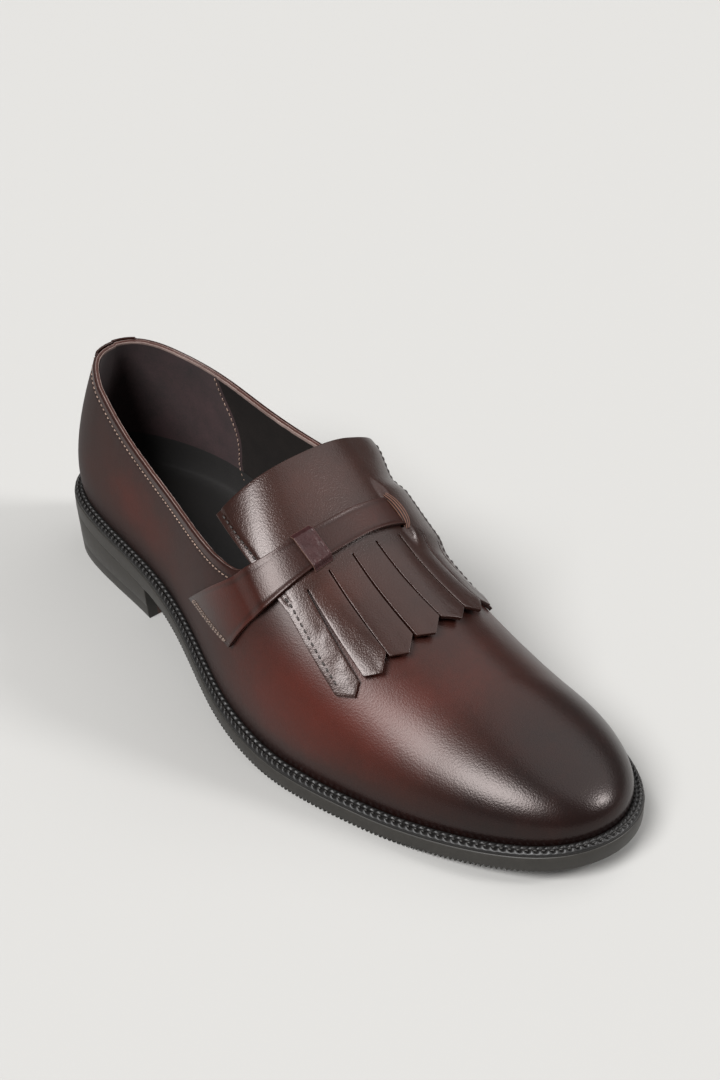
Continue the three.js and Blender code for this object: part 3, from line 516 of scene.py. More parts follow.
def calf_leather(name, dark, middle, bright, grain=1.0, gloss=0.32, grain_depth=0.03, coat=0.03):
    """Calf leather, dyed, burnished by hand with dark wax and polished.

    It shows dark where the wax lies thick (burnish is 0) and reddish where the dye shows (1), in
    soft clouds, with a broken sheen on its pores, and it is matt where dull says it got less wax.
    Real pores are about 0.2 mm, too fine for the render, so the grain is drawn coarser.
    """
    material, tree = new_material(name)
    place = add_node(tree, "ShaderNodeTexCoord").outputs["Object"]
    burnish = add_node(tree, "ShaderNodeAttribute", {"attribute_name": "burnish"}).outputs["Fac"]
    parts = []
    for size, spread, detail, roughness in ((CLOUD_SIZE, CLOUD_SPREAD, 5.0, 0.6),
                                            (STREAK_SIZE, STREAK_SPREAD, 6.0, 0.7)):
        patches = add_node(tree, "ShaderNodeTexNoise",
                           {"Scale": per_mm(size), "Detail": detail, "Roughness": roughness},
                           {"Vector": place}).outputs[0]
        parts.append(add_node(tree, "ShaderNodeMath",
                              {"operation": "MULTIPLY_ADD", 1: spread, 2: -spread / 2},
                              {0: patches}).outputs[0])
    uneven = add_node(tree, "ShaderNodeMath", {"operation": "ADD"},
                      {0: parts[0], 1: parts[1]}).outputs[0]
    tone = add_node(tree, "ShaderNodeMath", {"operation": "ADD", "use_clamp": True},
                    {0: burnish, 1: uneven}).outputs[0]
    ramp = add_node(tree, "ShaderNodeValToRGB", links={"Fac": tone})
    set_stops(ramp, [(0.0, dark), (0.45, middle), (1.0, bright)])
    pores = add_node(tree, "ShaderNodeTexVoronoi", {"Scale": per_mm(grain), "feature": "F1"},
                     {"Vector": place}).outputs["Distance"]
    fine = add_node(tree, "ShaderNodeTexNoise", {"Scale": per_mm(grain * 0.6), "Detail": 3.0},
                    {"Vector": place}).outputs[0]
    grainy = add_node(tree, "ShaderNodeMath", {"operation": "ADD"}, {0: pores, 1: fine}).outputs[0]
    bump = add_node(tree, "ShaderNodeBump", {"Strength": 1.0, "Distance": grain_depth / 1000},
                    {"Height": grainy}).outputs[0]
    rough = add_node(tree, "ShaderNodeMapRange", {"From Min": 0.0, "From Max": 0.8,
                                                  "To Min": gloss - 0.04, "To Max": gloss + 0.06},
                     {"Value": tone}).outputs[0]
    dull = add_node(tree, "ShaderNodeAttribute", {"attribute_name": "dull"}).outputs["Fac"]
    finish = add_node(tree, "ShaderNodeMath", {"operation": "MULTIPLY_ADD", 1: DULL_ROUGHNESS},
                      {0: dull, 2: rough}).outputs[0]
    shader = add_node(tree, "ShaderNodeBsdfPrincipled",
                      {"IOR": 1.48, "Specular IOR Level": 0.34, "Specular Tint": (1.0, 0.88, 0.85, 1.0),
                       "Coat Weight": coat, "Coat Roughness": 0.2},
                      {"Base Color": ramp.outputs[0], "Roughness": finish, "Normal": bump})
    finish_material(tree, shader)
    return material


def soft_lining(name, low, high, size, roughness, sheen):
    """Split leather with its nap up, or smooth lining leather, left without wax.

    It looks matt and cloudy and has no highlights. The nap's fibres are finer than the render
    shows, so they are drawn 0.5 to 2 mm across.
    """
    material, tree = new_material(name)
    place = add_node(tree, "ShaderNodeTexCoord").outputs["Object"]
    clouds = add_node(tree, "ShaderNodeTexNoise", {"Scale": per_mm(14), "Detail": 6.0, "Roughness": 0.7},
                      {"Vector": place}).outputs[0]
    nap = add_node(tree, "ShaderNodeTexNoise", {"Scale": per_mm(size), "Detail": 4.0},
                   {"Vector": place}).outputs[0]
    mixed = add_node(tree, "ShaderNodeMath", {"operation": "MULTIPLY_ADD", 1: 0.4},
                     {0: nap, 2: clouds})
    tone = add_node(tree, "ShaderNodeMapRange", {"From Min": 0.4, "From Max": 1.0},
                    {"Value": mixed.outputs[0]})
    ramp = add_node(tree, "ShaderNodeValToRGB", links={"Fac": tone.outputs[0]})
    set_stops(ramp, [(0.0, low), (1.0, high)])
    bump = add_node(tree, "ShaderNodeBump", {"Strength": 0.6, "Distance": 0.00008},
                    {"Height": nap}).outputs[0]
    shader = add_node(tree, "ShaderNodeBsdfPrincipled",
                      {"Roughness": roughness, "Sheen Weight": sheen, "Sheen Roughness": 0.5},
                      {"Base Color": ramp.outputs[0], "Normal": bump})
    finish_material(tree, shader)
    return material


def moulded_rubber(name, colour, worn, roughness, speck):
    """Injection-moulded rubber, with the satin surface of its mould.

    It looks dark and even with soft highlights, and a faint mottle of lighter specks. Real specks
    are below a millimetre and are drawn coarser, so that they show.
    """
    material, tree = new_material(name)
    place = add_node(tree, "ShaderNodeTexCoord").outputs["Object"]
    mottle = add_node(tree, "ShaderNodeTexNoise",
                      {"Scale": per_mm(speck), "Detail": 8.0, "Roughness": 0.7},
                      {"Vector": place}).outputs[0]
    ramp = add_node(tree, "ShaderNodeValToRGB", links={"Fac": mottle})
    set_stops(ramp, [(0.35, colour), (0.75, worn)])
    bump = add_node(tree, "ShaderNodeBump", {"Strength": 0.4, "Distance": 0.00006},
                    {"Height": mottle}).outputs[0]
    rough = add_node(tree, "ShaderNodeMapRange",
                     {"From Min": 0.3, "From Max": 0.7, "To Min": roughness, "To Max": roughness + 0.12},
                     {"Value": mottle}).outputs[0]
    shader = add_node(tree, "ShaderNodeBsdfPrincipled", {"IOR": 1.42},
                      {"Base Color": ramp.outputs[0], "Roughness": rough, "Normal": bump})
    finish_material(tree, shader)
    return material


def twisted_thread(name, colour, shade):
    """Polyester sewing thread, twisted and waxed.

    It has a satin shine broken by the darker turns of its twist, which is drawn at 0.5 mm, a
    little coarser than the real one.
    """
    material, tree = new_material(name)
    place = add_node(tree, "ShaderNodeTexCoord").outputs["Object"]
    turns = add_node(tree, "ShaderNodeTexNoise", {"Scale": per_mm(0.5), "Detail": 2.0},
                     {"Vector": place}).outputs[0]
    ramp = add_node(tree, "ShaderNodeValToRGB", links={"Fac": turns})
    set_stops(ramp, [(0.3, shade), (0.65, colour)])
    shader = add_node(tree, "ShaderNodeBsdfPrincipled", {"Roughness": 0.5},
                      {"Base Color": ramp.outputs[0]})
    finish_material(tree, shader)
    return material


def make_piece(name, points, faces, materials, burnish=None, face_slots=None, bevel=0.0,
               replaces=()):
    """A mesh piece from points in the shoe's own millimetres, riding on the shoe."""
    mesh = bpy.data.meshes.new(name)
    world = (np.asarray(points, float) + SHIFT) / 1000
    mesh.from_pydata(world.tolist(), [], faces)
    for material in materials:
        mesh.materials.append(material)
    if burnish is not None:
        attribute = mesh.attributes.new("burnish", "FLOAT", "POINT")
        attribute.data.foreach_set("value", np.asarray(burnish, np.float32))
    if face_slots is not None:
        mesh.polygons.foreach_set("material_index", np.asarray(face_slots, np.int32))
    mesh.polygons.foreach_set("use_smooth", np.ones(len(mesh.polygons), bool))
    mesh.validate()
    mesh.update()
    piece = bpy.data.objects.new(name, mesh)
    bpy.context.scene.collection.objects.link(piece)
    if bevel:
        modifier = piece.modifiers.new("edge", "BEVEL")
        modifier.width = bevel / 1000
        modifier.segments = 3
        modifier.limit_method = "ANGLE"
        modifier.angle_limit = math.radians(50)
    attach(piece, "root")
    for node in replaces:
        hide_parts(node)
    return piece


def grid_faces(columns, rows, wrap=False, flip=False, start=0):
    """Quads of a grid of points stored column by column."""
    faces = []
    for i in range(columns if wrap else columns - 1):
        j = (i + 1) % columns
        for k in range(rows - 1):
            quad = (i * rows + k, j * rows + k, j * rows + k + 1, i * rows + k + 1)
            quad = tuple(v + start for v in quad)
            faces.append(quad[::-1] if flip else quad)
    return faces


def sheet_solid(inside, outside, quads):
    """A closed solid between two sheets, with a side wall on each edge that one quad has."""
    count = len(inside)
    faces = [tuple(v + count for v in quad) for quad in quads]
    faces += [tuple(quad[::-1]) for quad in quads]
    edges = {}
    for quad in quads:
        for i, v in enumerate(quad):
            w = quad[(i + 1) % len(quad)]
            if (w, v) in edges:
                del edges[(w, v)]
            else:
                edges[(v, w)] = True
    faces += [(v, w, w + count, v + count) for v, w in edges]
    return np.concatenate([inside, outside]), faces


def resample(points, normals, pitch):
    """Even spots along a path, with the way off the surface and the way along it."""
    lengths = np.concatenate([[0], np.cumsum(np.linalg.norm(np.diff(points, axis=0), axis=1))])
    count = max(1, int(round(lengths[-1] / pitch)))
    wanted = (np.arange(count) + 0.5) * lengths[-1] / count
    step = lengths[-1] / count * 0.3

    def path_at(values, places):
        return np.stack([np.interp(places, lengths, values[:, k]) for k in range(3)], 1)

    along = unit(path_at(points, wanted + step) - path_at(points, wanted - step))
    return path_at(points, wanted), unit(path_at(normals, wanted)), along


# Rings of a stitch: place along it as a share of its length, thickness and height in radii
STITCH_PROFILE = ((-0.5, 0.35, -0.8), (-0.42, 0.85, -0.25), (-0.2, 1.0, 0.15), (0.2, 1.0, 0.15),
                  (0.42, 0.85, -0.25), (0.5, 0.35, -0.8))


def stitch_row(name, rows, pitch, radius, material, length=0.74, sides=6):
    """Rows of stitches in one mesh: each is a short rounded thread sunk a little at its ends."""
    points, faces = [], []
    for path, normals in rows:
        spots, ups, alongs = resample(np.asarray(path), np.asarray(normals), pitch)
        across = np.cross(ups, alongs)
        for spot, up, along, side in zip(spots, ups, alongs, across):
            start = len(points)
            for reach, thick, lift in STITCH_PROFILE:
                for k in range(sides):
                    angle = 2 * math.pi * k / sides
                    ring = side * math.cos(angle) + up * math.sin(angle)
                    points.append(spot + along * reach * pitch * length + up * lift * radius
                                  + ring * thick * radius)
            for r in range(len(STITCH_PROFILE) - 1):
                for k in range(sides):
                    a, b = start + r * sides + k, start + r * sides + (k + 1) % sides
                    faces.append((a, b, b + sides, a + sides))
            last = start + (len(STITCH_PROFILE) - 1) * sides
            faces.append(tuple(range(start + sides - 1, start - 1, -1)))
            faces.append(tuple(range(last, last + sides)))
    return make_piece(name, np.array(points), faces, [material])


class UpperSettings(bpy.types.PropertyGroup):
    """Colours and finish of the leather pieces."""

    dark: FloatVectorProperty(name="Dark polish", description="Where the wax lies thickest",
                              subtype="COLOR", size=3, default=linear("#120807"))
    middle: FloatVectorProperty(name="Middle tone", description="Leather between polish and dye",
                                subtype="COLOR", size=3, default=linear("#260f0a"))
    bright: FloatVectorProperty(name="Dye", description="Where the reddish dye shows through",
                                subtype="COLOR", size=3, default=linear("#43160d"))
    grain: FloatProperty(name="Grain", description="Size of the leather's pores",
                         default=0.0007, min=0.0002, unit="LENGTH")
    collar_stitch: FloatProperty(name="Collar stitch",
                                 description="Length of one stitch of the collar",
                                 default=0.0024, min=0.0008, unit="LENGTH")


class FringeSettings(bpy.types.PropertyGroup):
    """Colours of the fringed tongue, the lift of its strips and the length of its margin stitches."""

    dark: FloatVectorProperty(name="Dark polish", description="Darkest tone of the fringed tongue",
                              subtype="COLOR", size=3, default=linear("#140a08"))
    middle: FloatVectorProperty(name="Middle tone", description="Middle tone of the fringed tongue",
                                subtype="COLOR", size=3, default=linear("#28140f"))
    bright: FloatVectorProperty(name="Dye", description="Brightest tone of the fringed tongue",
                                subtype="COLOR", size=3, default=linear("#40211a"))
    lift: FloatProperty(name="Strip lift", description="How far a strip's end stands off the vamp",
                        default=0.0016, min=0.0, unit="LENGTH")
    stitch: FloatProperty(name="Margin stitch", description="Length of one stitch of the margin",
                          default=0.0026, min=0.0008, unit="LENGTH")


class SoleSettings(bpy.types.PropertyGroup):
    """Shape and colours of the sole, heel and welt."""

    rubber: FloatVectorProperty(name="Rubber", description="Colour of the sole and heel",
                                subtype="COLOR", size=3, default=linear("#24221f"))
    welt: FloatVectorProperty(name="Welt", description="Colour of the welt",
                              subtype="COLOR", size=3, default=linear("#0b0a0a"))
    tooth: FloatProperty(name="Tread tooth", description="Pitch of the teeth along the tread's edge",
                         default=0.0018, min=0.0008, unit="LENGTH")
    braid: FloatProperty(name="Welt braid", description="Pitch of the braid pressed into the welt",
                         default=0.0028, min=0.001, unit="LENGTH")


class StageSettings(bpy.types.PropertyGroup):
    """Floor, light and camera."""

    floor: FloatVectorProperty(name="Floor", description="Colour of the floor",
                               subtype="COLOR", size=3, default=linear("#a8a7a5"))
    key: FloatProperty(name="Key light", description="Strength of the large soft light",
                       default=5.0, min=0.0)
    distance: FloatProperty(name="Camera distance", description="From the camera to its target",
                            default=0.65, min=0.2, unit="LENGTH")


LEATHER = {}


def shoe_materials(context):
    """The leathers, threads and linings, made once and shared by the pieces."""
    if LEATHER:
        return LEATHER
    upper = context.scene.loafer_upper
    fringe = context.scene.loafer_fringe
    grain = upper.grain * 1000
    LEATHER.update({
        "calf": calf_leather("burnished_calf_leather", upper.dark, upper.middle, upper.bright, grain),
        "fringe": calf_leather("waxed_calf_leather", fringe.dark, fringe.middle, fringe.bright,
                               grain, 0.29, 0.05, 0.16),
        "keeper": calf_leather("crumpled_calf_leather", linear("#180d0e"), linear("#311b1c"),
                               linear("#3c1f20"), grain * 1.3, 0.36, 0.05),
        "fold": calf_leather("folded_edge_leather", linear("#211311"), linear("#3e231d"),
                             linear("#4c2a24"), 0.8, 0.4, 0.02),
        "layers": calf_leather("layered_cut_edge_leather", linear("#0f0705"), linear("#301a13"),
                               linear("#7d5848"), 0.6, 0.6, 0.03, 0.0),
    })
    linings = (
        ("raw", "raw_cut_leather", "#402a22", "#735446", 0.7, 0.85, 0.0),
        ("pale", "pale_lining_edge", "#56413b", "#93807a", 0.6, 0.8, 0.0),
        ("suede", "suede_heel_lining", "#150a0a", "#382224", 0.6, 0.9, 0.08),
        ("lining", "smooth_black_lining", "#120f0e", "#1f1a18", 0.5, 0.6, 0.0),
        ("sock", "black_sock_leather", "#0e0c0b", "#191615", 0.9, 0.8, 0.0),
    )
    for key, name, low, high, size, roughness, sheen in linings:
        LEATHER[key] = soft_lining(name, linear(low), linear(high), size, roughness, sheen)
    threads = (
        ("dark_thread", "dark_waxed_thread", "#2c201c", "#0a0605"),
        ("brown_thread", "brown_waxed_thread", "#7c6a60", "#1c1512"),
        ("tan_thread", "tan_waxed_thread", "#a1887a", "#46332b"),
    )
    for key, name, colour, shade in threads:
        LEATHER[key] = twisted_thread(name, linear(colour), linear(shade))
    return LEATHER


# Patches where the reddish dye shows: middle and spread in the shoe's own mm, and strength
DYE_PATCHES = (
    ((-30, 80, 50), (22, 25, 12), 0.46),
    ((-38, 45, 40), (18, 22, 14), 0.16),
    ((-53, -42, 38), (20, 28, 17), 0.62),
    ((-36, -78, 36), (22, 22, 14), 0.34),
    ((-6, -84, 46), (26, 18, 14), 0.24),
    ((42, -46, 38), (20, 28, 17), 0.50),
    ((31, 74, 50), (20, 25, 12), 0.50),
)


def burnish_at(points, share, up, collar):
    """How far the dye shows on the upper: dark at the toe, heel, welt and collar."""
    tone = np.full(np.shape(share), 0.20)
    for middle, spread, strength in DYE_PATCHES:
        reach = (((points - np.array(middle)) / np.array(spread)) ** 2).sum(-1)
        tone = tone + strength * np.exp(-reach / 2)
    place = points[..., 1]
    above = points[..., 2] - sole_top(share)
    tone = tone * (1 - 0.92 * smoothstep(-place, 88, 128))
    tone = tone * (1 - 0.60 * smoothstep(place, 108, 142))
    tone = tone * (1 - 0.80 * (1 - smoothstep(above, 1, 15)))
    tone = tone * (1 - 0.45 * smoothstep(up, 0.84, 1.0) * collar)
    return np.clip(tone, 0, 1)


# The quarters' dull finish fades in between these places along the shoe, in mm
DULL_FROM, DULL_TO = -55, 10

# Height of a section from the welt to the crest, in mm, for the creases alone
CREASE_HEIGHT = 95

# Soft creases, given one by one: side, share and level of the middle, length and direction in mm
# and degrees, width and depth in mm
CREASE = ("side", "share", "level", "length", "angle", "width", "depth")
CREASES = (
    (OUTER, 0.195, 0.52, 16, 72, 2.2, 0.22),
    (OUTER, 0.215, 0.46, 13, 64, 2.0, 0.16),
    (OUTER, 0.085, 0.80, 15, 20, 2.4, 0.16),
    (INNER, 0.67, 0.58, 24, 20, 5.0, 0.24),
    (INNER, 0.20, 0.52, 16, 70, 2.4, 0.20),
)


def crease_depth(sign, share, level):
    """Depth of the creases at a place of the upper."""
    depth = np.zeros(np.shape(share))
    for row in CREASES:
        crease = dict(zip(CREASE, row))
        along = (share - crease["share"]) * SOLE_LENGTH
        up = (level - crease["level"]) * CREASE_HEIGHT
        angle = math.radians(crease["angle"])
        down_line = along * math.cos(angle) + up * math.sin(angle)
        off_line = -along * math.sin(angle) + up * math.cos(angle)
        away = off_line / crease["width"]
        trough = np.exp(-away ** 2) - 0.4 * np.exp(-(away / 2) ** 2)
        ends = np.exp(-(down_line / crease["length"]) ** 2)
        depth += np.where(sign == crease["side"], crease["depth"] * trough * ends, 0)
    return depth


# Distances of the upper's top rows below its edge, in mm: close together where the collar is
# folded and stitched
TOP_ROWS = (0.0, 0.3, 0.8, 1.4, 2.0, 2.5, 2.9, 3.3, 3.7, 4.2, 5.0, 6.2)
# The collar's stitch line and the roll above it: drop below the edge, width and depth or height
STITCH_DROP, STITCH_WIDTH, STITCH_DEPTH = 3.3, 0.55, 0.30
ROLL_DROP, ROLL_WIDTH, ROLL_HEIGHT = 1.6, 1.0, 0.12
# Length of the eased stretch at TOE_PIVOT as a share, and columns that are averaged each way
EASE_SHARE, EASE_COLUMNS = 0.035, 9


def heel_strip(across, share, soft):
    """1 on the strip over the back seam and 0 beside it, with a soft edge in mm."""
    half = HEEL_STRIP_WIDTH / 2
    return np.where(share < 0.06, 1 - smoothstep(np.abs(across), half - soft, half + soft), 0)


def ease_pivot(point, share, t):
    """Rounds the fold across the vamp at which the toe's sections start to fan out."""
    near = np.exp(-((share - TOE_PIVOT) / EASE_SHARE) ** 2)[:, None] * smoothstep(1 - t, 0, 0.08)
    padded = np.pad(point, ((EASE_COLUMNS, EASE_COLUMNS), (0, 0), (0, 0)), mode="edge")
    weights = np.cos(np.linspace(-1, 1, 2 * EASE_COLUMNS + 1) * math.pi / 2) + 0.01
    total = sum(weight * padded[i:i + len(point)] for i, weight in enumerate(weights))
    return lerp(point, total / weights.sum(), near[..., None])


def upper_sheet(offset, columns, rows, low=0.0, drop=0.0, creased=True):
    """One skin of the upper as points, quads and tints, a sheet for each side."""
    parts, faces, tints = [], [], []
    start = 0
    for sign in (OUTER, INNER):
        turns = np.linspace(0, math.pi, columns)
        side = np.full(columns, float(sign))
        share = half_section(side, turns)[1]
        closed = share >= THROAT_END
        drops = TOP_ROWS if creased else (0.0, 3.0)
        even = smoothstep(share, THROAT_END, THROAT_END + 0.12)
        tops = [lerp(collar_level(side, turns, row + drop), 1 - 0.016 * i, even)
                for i, row in enumerate(drops)]
        under = np.linspace(0, 1, rows - len(tops) + 1)[:-1]
        t = np.concatenate([low + under[:, None] * (tops[-1] - low), np.array(tops[::-1])]).T
        t[:, -1] = np.where(closed, 1.0, t[:, -1])
        turn = np.repeat(turns[:, None], rows, 1)
        side = np.full(turn.shape, float(sign))
        share = np.repeat(share[:, None], rows, 1)
        push = np.full(turn.shape, float(offset))
        point = last_point(side, turn, t, push)
        up = t / t[:, -1:]
        collar = np.where(share < THROAT_START, 1.0, 1 - smoothstep(share, THROAT_START, THROAT_END))
        if creased:
            strip = heel_strip(point[..., 0], share, 0.25) * smoothstep(t, 0.08, 0.10)
            below = np.concatenate([np.full(rows - len(tops), 20.0), np.array(TOP_ROWS)[::-1]])
            fold = (STITCH_DEPTH * np.exp(-((below - STITCH_DROP) / STITCH_WIDTH) ** 2)
                    - ROLL_HEIGHT * np.exp(-((below - ROLL_DROP) / ROLL_WIDTH) ** 2))
            push = push + strip * HEEL_STRIP_STEP - crease_depth(side, share, t) - fold * collar
            point = ease_pivot(last_point(side, turn, t, push), share[:, 0], t)
        parts.append(point.reshape(-1, 3))
        tint = burnish_at(point, share_at(point[..., 1]), up, collar)
        if creased:
            tint = tint * (1 - 0.6 * collar * np.exp(-((below - STITCH_DROP) / 0.7) ** 2))
        tints.append(tint.ravel())
        faces += grid_faces(columns, rows, flip=sign > 0, start=start)
        start += columns * rows
    return np.concatenate(parts), faces, np.concatenate(tints)


def weld(piece, distance=0.01):
    """Joins points that lie on each other."""
    mesh = bmesh.new()
    mesh.from_mesh(piece.data)
    bmesh.ops.remove_doubles(mesh, verts=mesh.verts, dist=distance / 1000)
    mesh.to_mesh(piece.data)
    mesh.free()


def collar_path(count):
    """Sides and turns of the collar, from the throat round the heel and back to the throat."""
    ends = {s: float(turn_at(s, THROAT_END - 0.0005)) for s in (OUTER, INNER)}
    outer = np.linspace(ends[OUTER], 0, count)
    inner = np.linspace(0, ends[INNER], count)[1:]
    signs = np.repeat((-1.0, 1.0), (count, count - 1))
    return signs, np.concatenate([outer, inner])


def sweep(points, normals, ups, profile):
    """Points and faces of an open profile of (out, up) pairs carried along a path."""
    profile = np.array(profile)
    out, rise = profile[None, :, :1], profile[None, :, 1:]
    ring = points[:, None] + normals[:, None] * out + ups[:, None] * rise
    return ring.reshape(-1, 3), grid_faces(len(points), len(profile))


class LOAFER_OT_upper(bpy.types.Operator):
    """Builds the vamp and quarters, the folded collar edge, the linings and the stitching"""

    bl_idname = "loafer.upper"
    bl_label = "Upper"

    def execute(self, context):
        leather = shoe_materials(context)
        points, faces, tints = upper_sheet(0.0, 280, 76)
        shell = make_piece("vamp_and_quarters", points, faces, [leather["calf"]],
                           tints, replaces=("upper",))
        dull = shell.data.attributes.new("dull", "FLOAT", "POINT")
        fade = smoothstep(points[:, 1], DULL_FROM, DULL_TO)
        dull.data.foreach_set("value", fade.astype(np.float32))
        weld(shell)
        self.make_linings(leather)
        self.make_collar(context, leather)
        return {"FINISHED"}

    def make_linings(self, leather):
        """The smooth lining, the suede patch inside the heel and the patch's stitching."""
        points, faces, _ = upper_sheet(-UPPER_WALL, 120, 30, 0.03, 0.6, creased=False)
        faces = [face[::-1] for face in faces]
        lining = make_piece("quarter_lining", points, faces, [leather["lining"]])
        weld(lining)
        points, faces, path = self.heel_lining()
        make_piece("heel_lining", points, faces, [leather["suede"]])
        stitch_row("heel_lining_stitches", path, 2.3, 0.28, leather["tan_thread"])

    def heel_lining(self):
        """The suede patch inside the heel, its curved front edges and their stitch lines."""
        columns, rows = 90, 30
        level = np.linspace(0, 1, rows)
        front = smooth_curve(HEEL_LINING["up"], HEEL_LINING["front"])(level)
        parts, faces, paths = [], [], []
        for sign in (OUTER, INNER):
            turn = np.linspace(0, 1, columns)[:, None] * turn_at(sign, front)[None, :]
            side = np.full(turn.shape, float(sign))
            share = half_section(side, turn)[1]
            top = collar_level(side, turn, 0.6)
            bottom = level_at(side, turn, sole_top(share) + CLEARANCE + INSOLE_THICKNESS + 5)
            t = lerp(bottom, top, level[None, :])
            offset = np.full(turn.shape, -UPPER_WALL - 0.45)
            offset[-1] = -UPPER_WALL + 0.1
            start = sum(len(part) for part in parts)
            parts.append(last_point(side, turn, t, offset).reshape(-1, 3))
            faces += grid_faces(columns, rows, flip=sign < 0, start=start)
            point, normal, _ = last_frame(side[-1], turn[-1] - 0.012, t[-1])
            paths.append((point - normal * (UPPER_WALL + 0.55), -normal))
        return np.concatenate(parts), faces, paths

    def make_collar(self, context, leather):
        """The four layers of the folded collar edge, and the stitch line under it."""
        signs, turns = collar_path(240)
        level = collar_level(signs, turns)
        points, normals, ups = last_frame(signs, turns, level)
        share = half_section(signs, turns)[1]
        step = HEEL_STRIP_STEP * heel_strip(points[:, 0], share, 0.3)
        base = points + normals * step[:, None]
        edges = (
            ("collar_leather_edge", "calf", 0.35,
             ((0.10, -2.3), (0.16, -0.6), (0.08, -0.1), (-0.14, 0.12), (-0.50, 0.12), (-0.78, -0.08),
              (-0.82, -0.7))),
            ("collar_cut_line", "pale", 0.5,
             ((-0.78, -0.5), (-0.80, 0.02), (-0.88, 0.1), (-1.0, 0.08), (-1.04, -0.5))),
            ("collar_fold", "fold", 0.35,
             ((-1.00, -0.6), (-1.04, 0.05), (-1.2, 0.3), (-1.5, 0.34), (-1.8, 0.2), (-1.92, -0.1),
              (-1.94, -0.7))),
            ("lining_cut_edge", "pale", 0.5,
             ((-1.90, -0.5), (-1.93, 0.0), (-2.02, 0.12), (-2.16, 0.06), (-2.26, -0.4), (-2.3, -1.4))),
        )
        ragged = 0.09 * noise(points, 1.6, 4) + 0.06 * noise(points, 0.7, 5)
        for name, material, tone, profile in edges:
            uneven = ragged * (1.6 if material == "pale" else 0.4)
            path = (base if name == "collar_leather_edge" else points) + ups * uneven[:, None]
            flat, faces = sweep(path, normals, ups, profile[::-1])
            make_piece(name, flat, faces, [leather[material]],
                       np.full(len(flat), tone))
        row_level = collar_level(signs, turns, STITCH_DROP)
        row, row_normals, _ = last_frame(signs, turns, row_level)
        row = row + row_normals * (step - 0.06)[:, None]
        pitch = context.scene.loafer_upper.collar_stitch * 1000
        stitch_row("collar_stitches", [(row, row_normals)], pitch, 0.28, leather["tan_thread"],
                   0.55)


def strip_edge(places, sign, slit, gap):
    """How far across a strip's edge stands, for STRIP_TOPS or for STRIP_ENDS."""
    if slit == STRIPS_PER_SIDE:
        return sign * places[slit]
    return sign * (places[slit] + gap) + (SLIT_LEAN if places is STRIP_TOPS else STRIP_DRIFT)


def slot_edge(part, along):
    """How far across the tongue's slot starts and ends, at a share of the length."""
    start = strip_edge(STRIP_TOPS, 1, SLOT_STRIP, STRIP_GAP / 2)
    end = strip_edge(STRIP_TOPS, 1, SLOT_STRIP + 1, -STRIP_GAP / 2)
    return lerp(start, end, SLOT_PARTS[part]) * TONGUE_HALF_AT(along) / TONGUE_HALF_AT(SLIT_LINE)


def tongue_rise(across, along):
    """How far the tongue stands off the last: over the strap, and at its free corner."""
    past = smoothstep(across, slot_edge(0, along), slot_edge(1, along) - 0.01)
    place = np.maximum(across, 0) / TONGUE_HALF
    above = (STRAP_EDGES["upper_along"](place) - along) * SOLE_LENGTH
    below = (along - STRAP_EDGES["lower_along"](place)) * SOLE_LENGTH
    up = 1 - smoothstep(np.maximum(above, below), LIP_MARGIN, LIP_MARGIN + LIP_RUN)
    free = smoothstep(across / TONGUE_HALF_AT(along), 0.5, 1) * smoothstep(above, LIP_RUN, 3 * LIP_RUN)
    return past * up * (STRAP_WING_HIGH + SLOT_LIP - TONGUE_LOW) + free * TONGUE_FLARE


# How each strip lies, from the outer side: extra lift and sideways tilt of its end and depth of
# its creases, then how far its two edges and one corner of its end stray from the pattern, in mm
STRIP_LIES = ("lift", "tilt", "crease", "near", "far", "skew")
STRIP_SHAPES = (
    (0.0, 0.0, 0.10, 0.0, -2.0, 0.6),
    (0.5, 0.25, 0.04, -0.7, 0.0, -0.9),
    (0.2, -0.20, 0.04, -0.5, 0.0, -0.6),
    (0.3, 0.15, 0.04, 0.0, 0.0, -0.6),
    (0.1, -0.15, 0.04, 0.0, 0.0, 0.0),
    (0.4, 0.30, 0.04, 0.0, 0.0, 0.0),
    (0.2, -0.25, 0.05, 0.0, 0.0, 0.0),
    (0.0, 0.0, 0.10, 0.0, 0.0, 0.0),
)


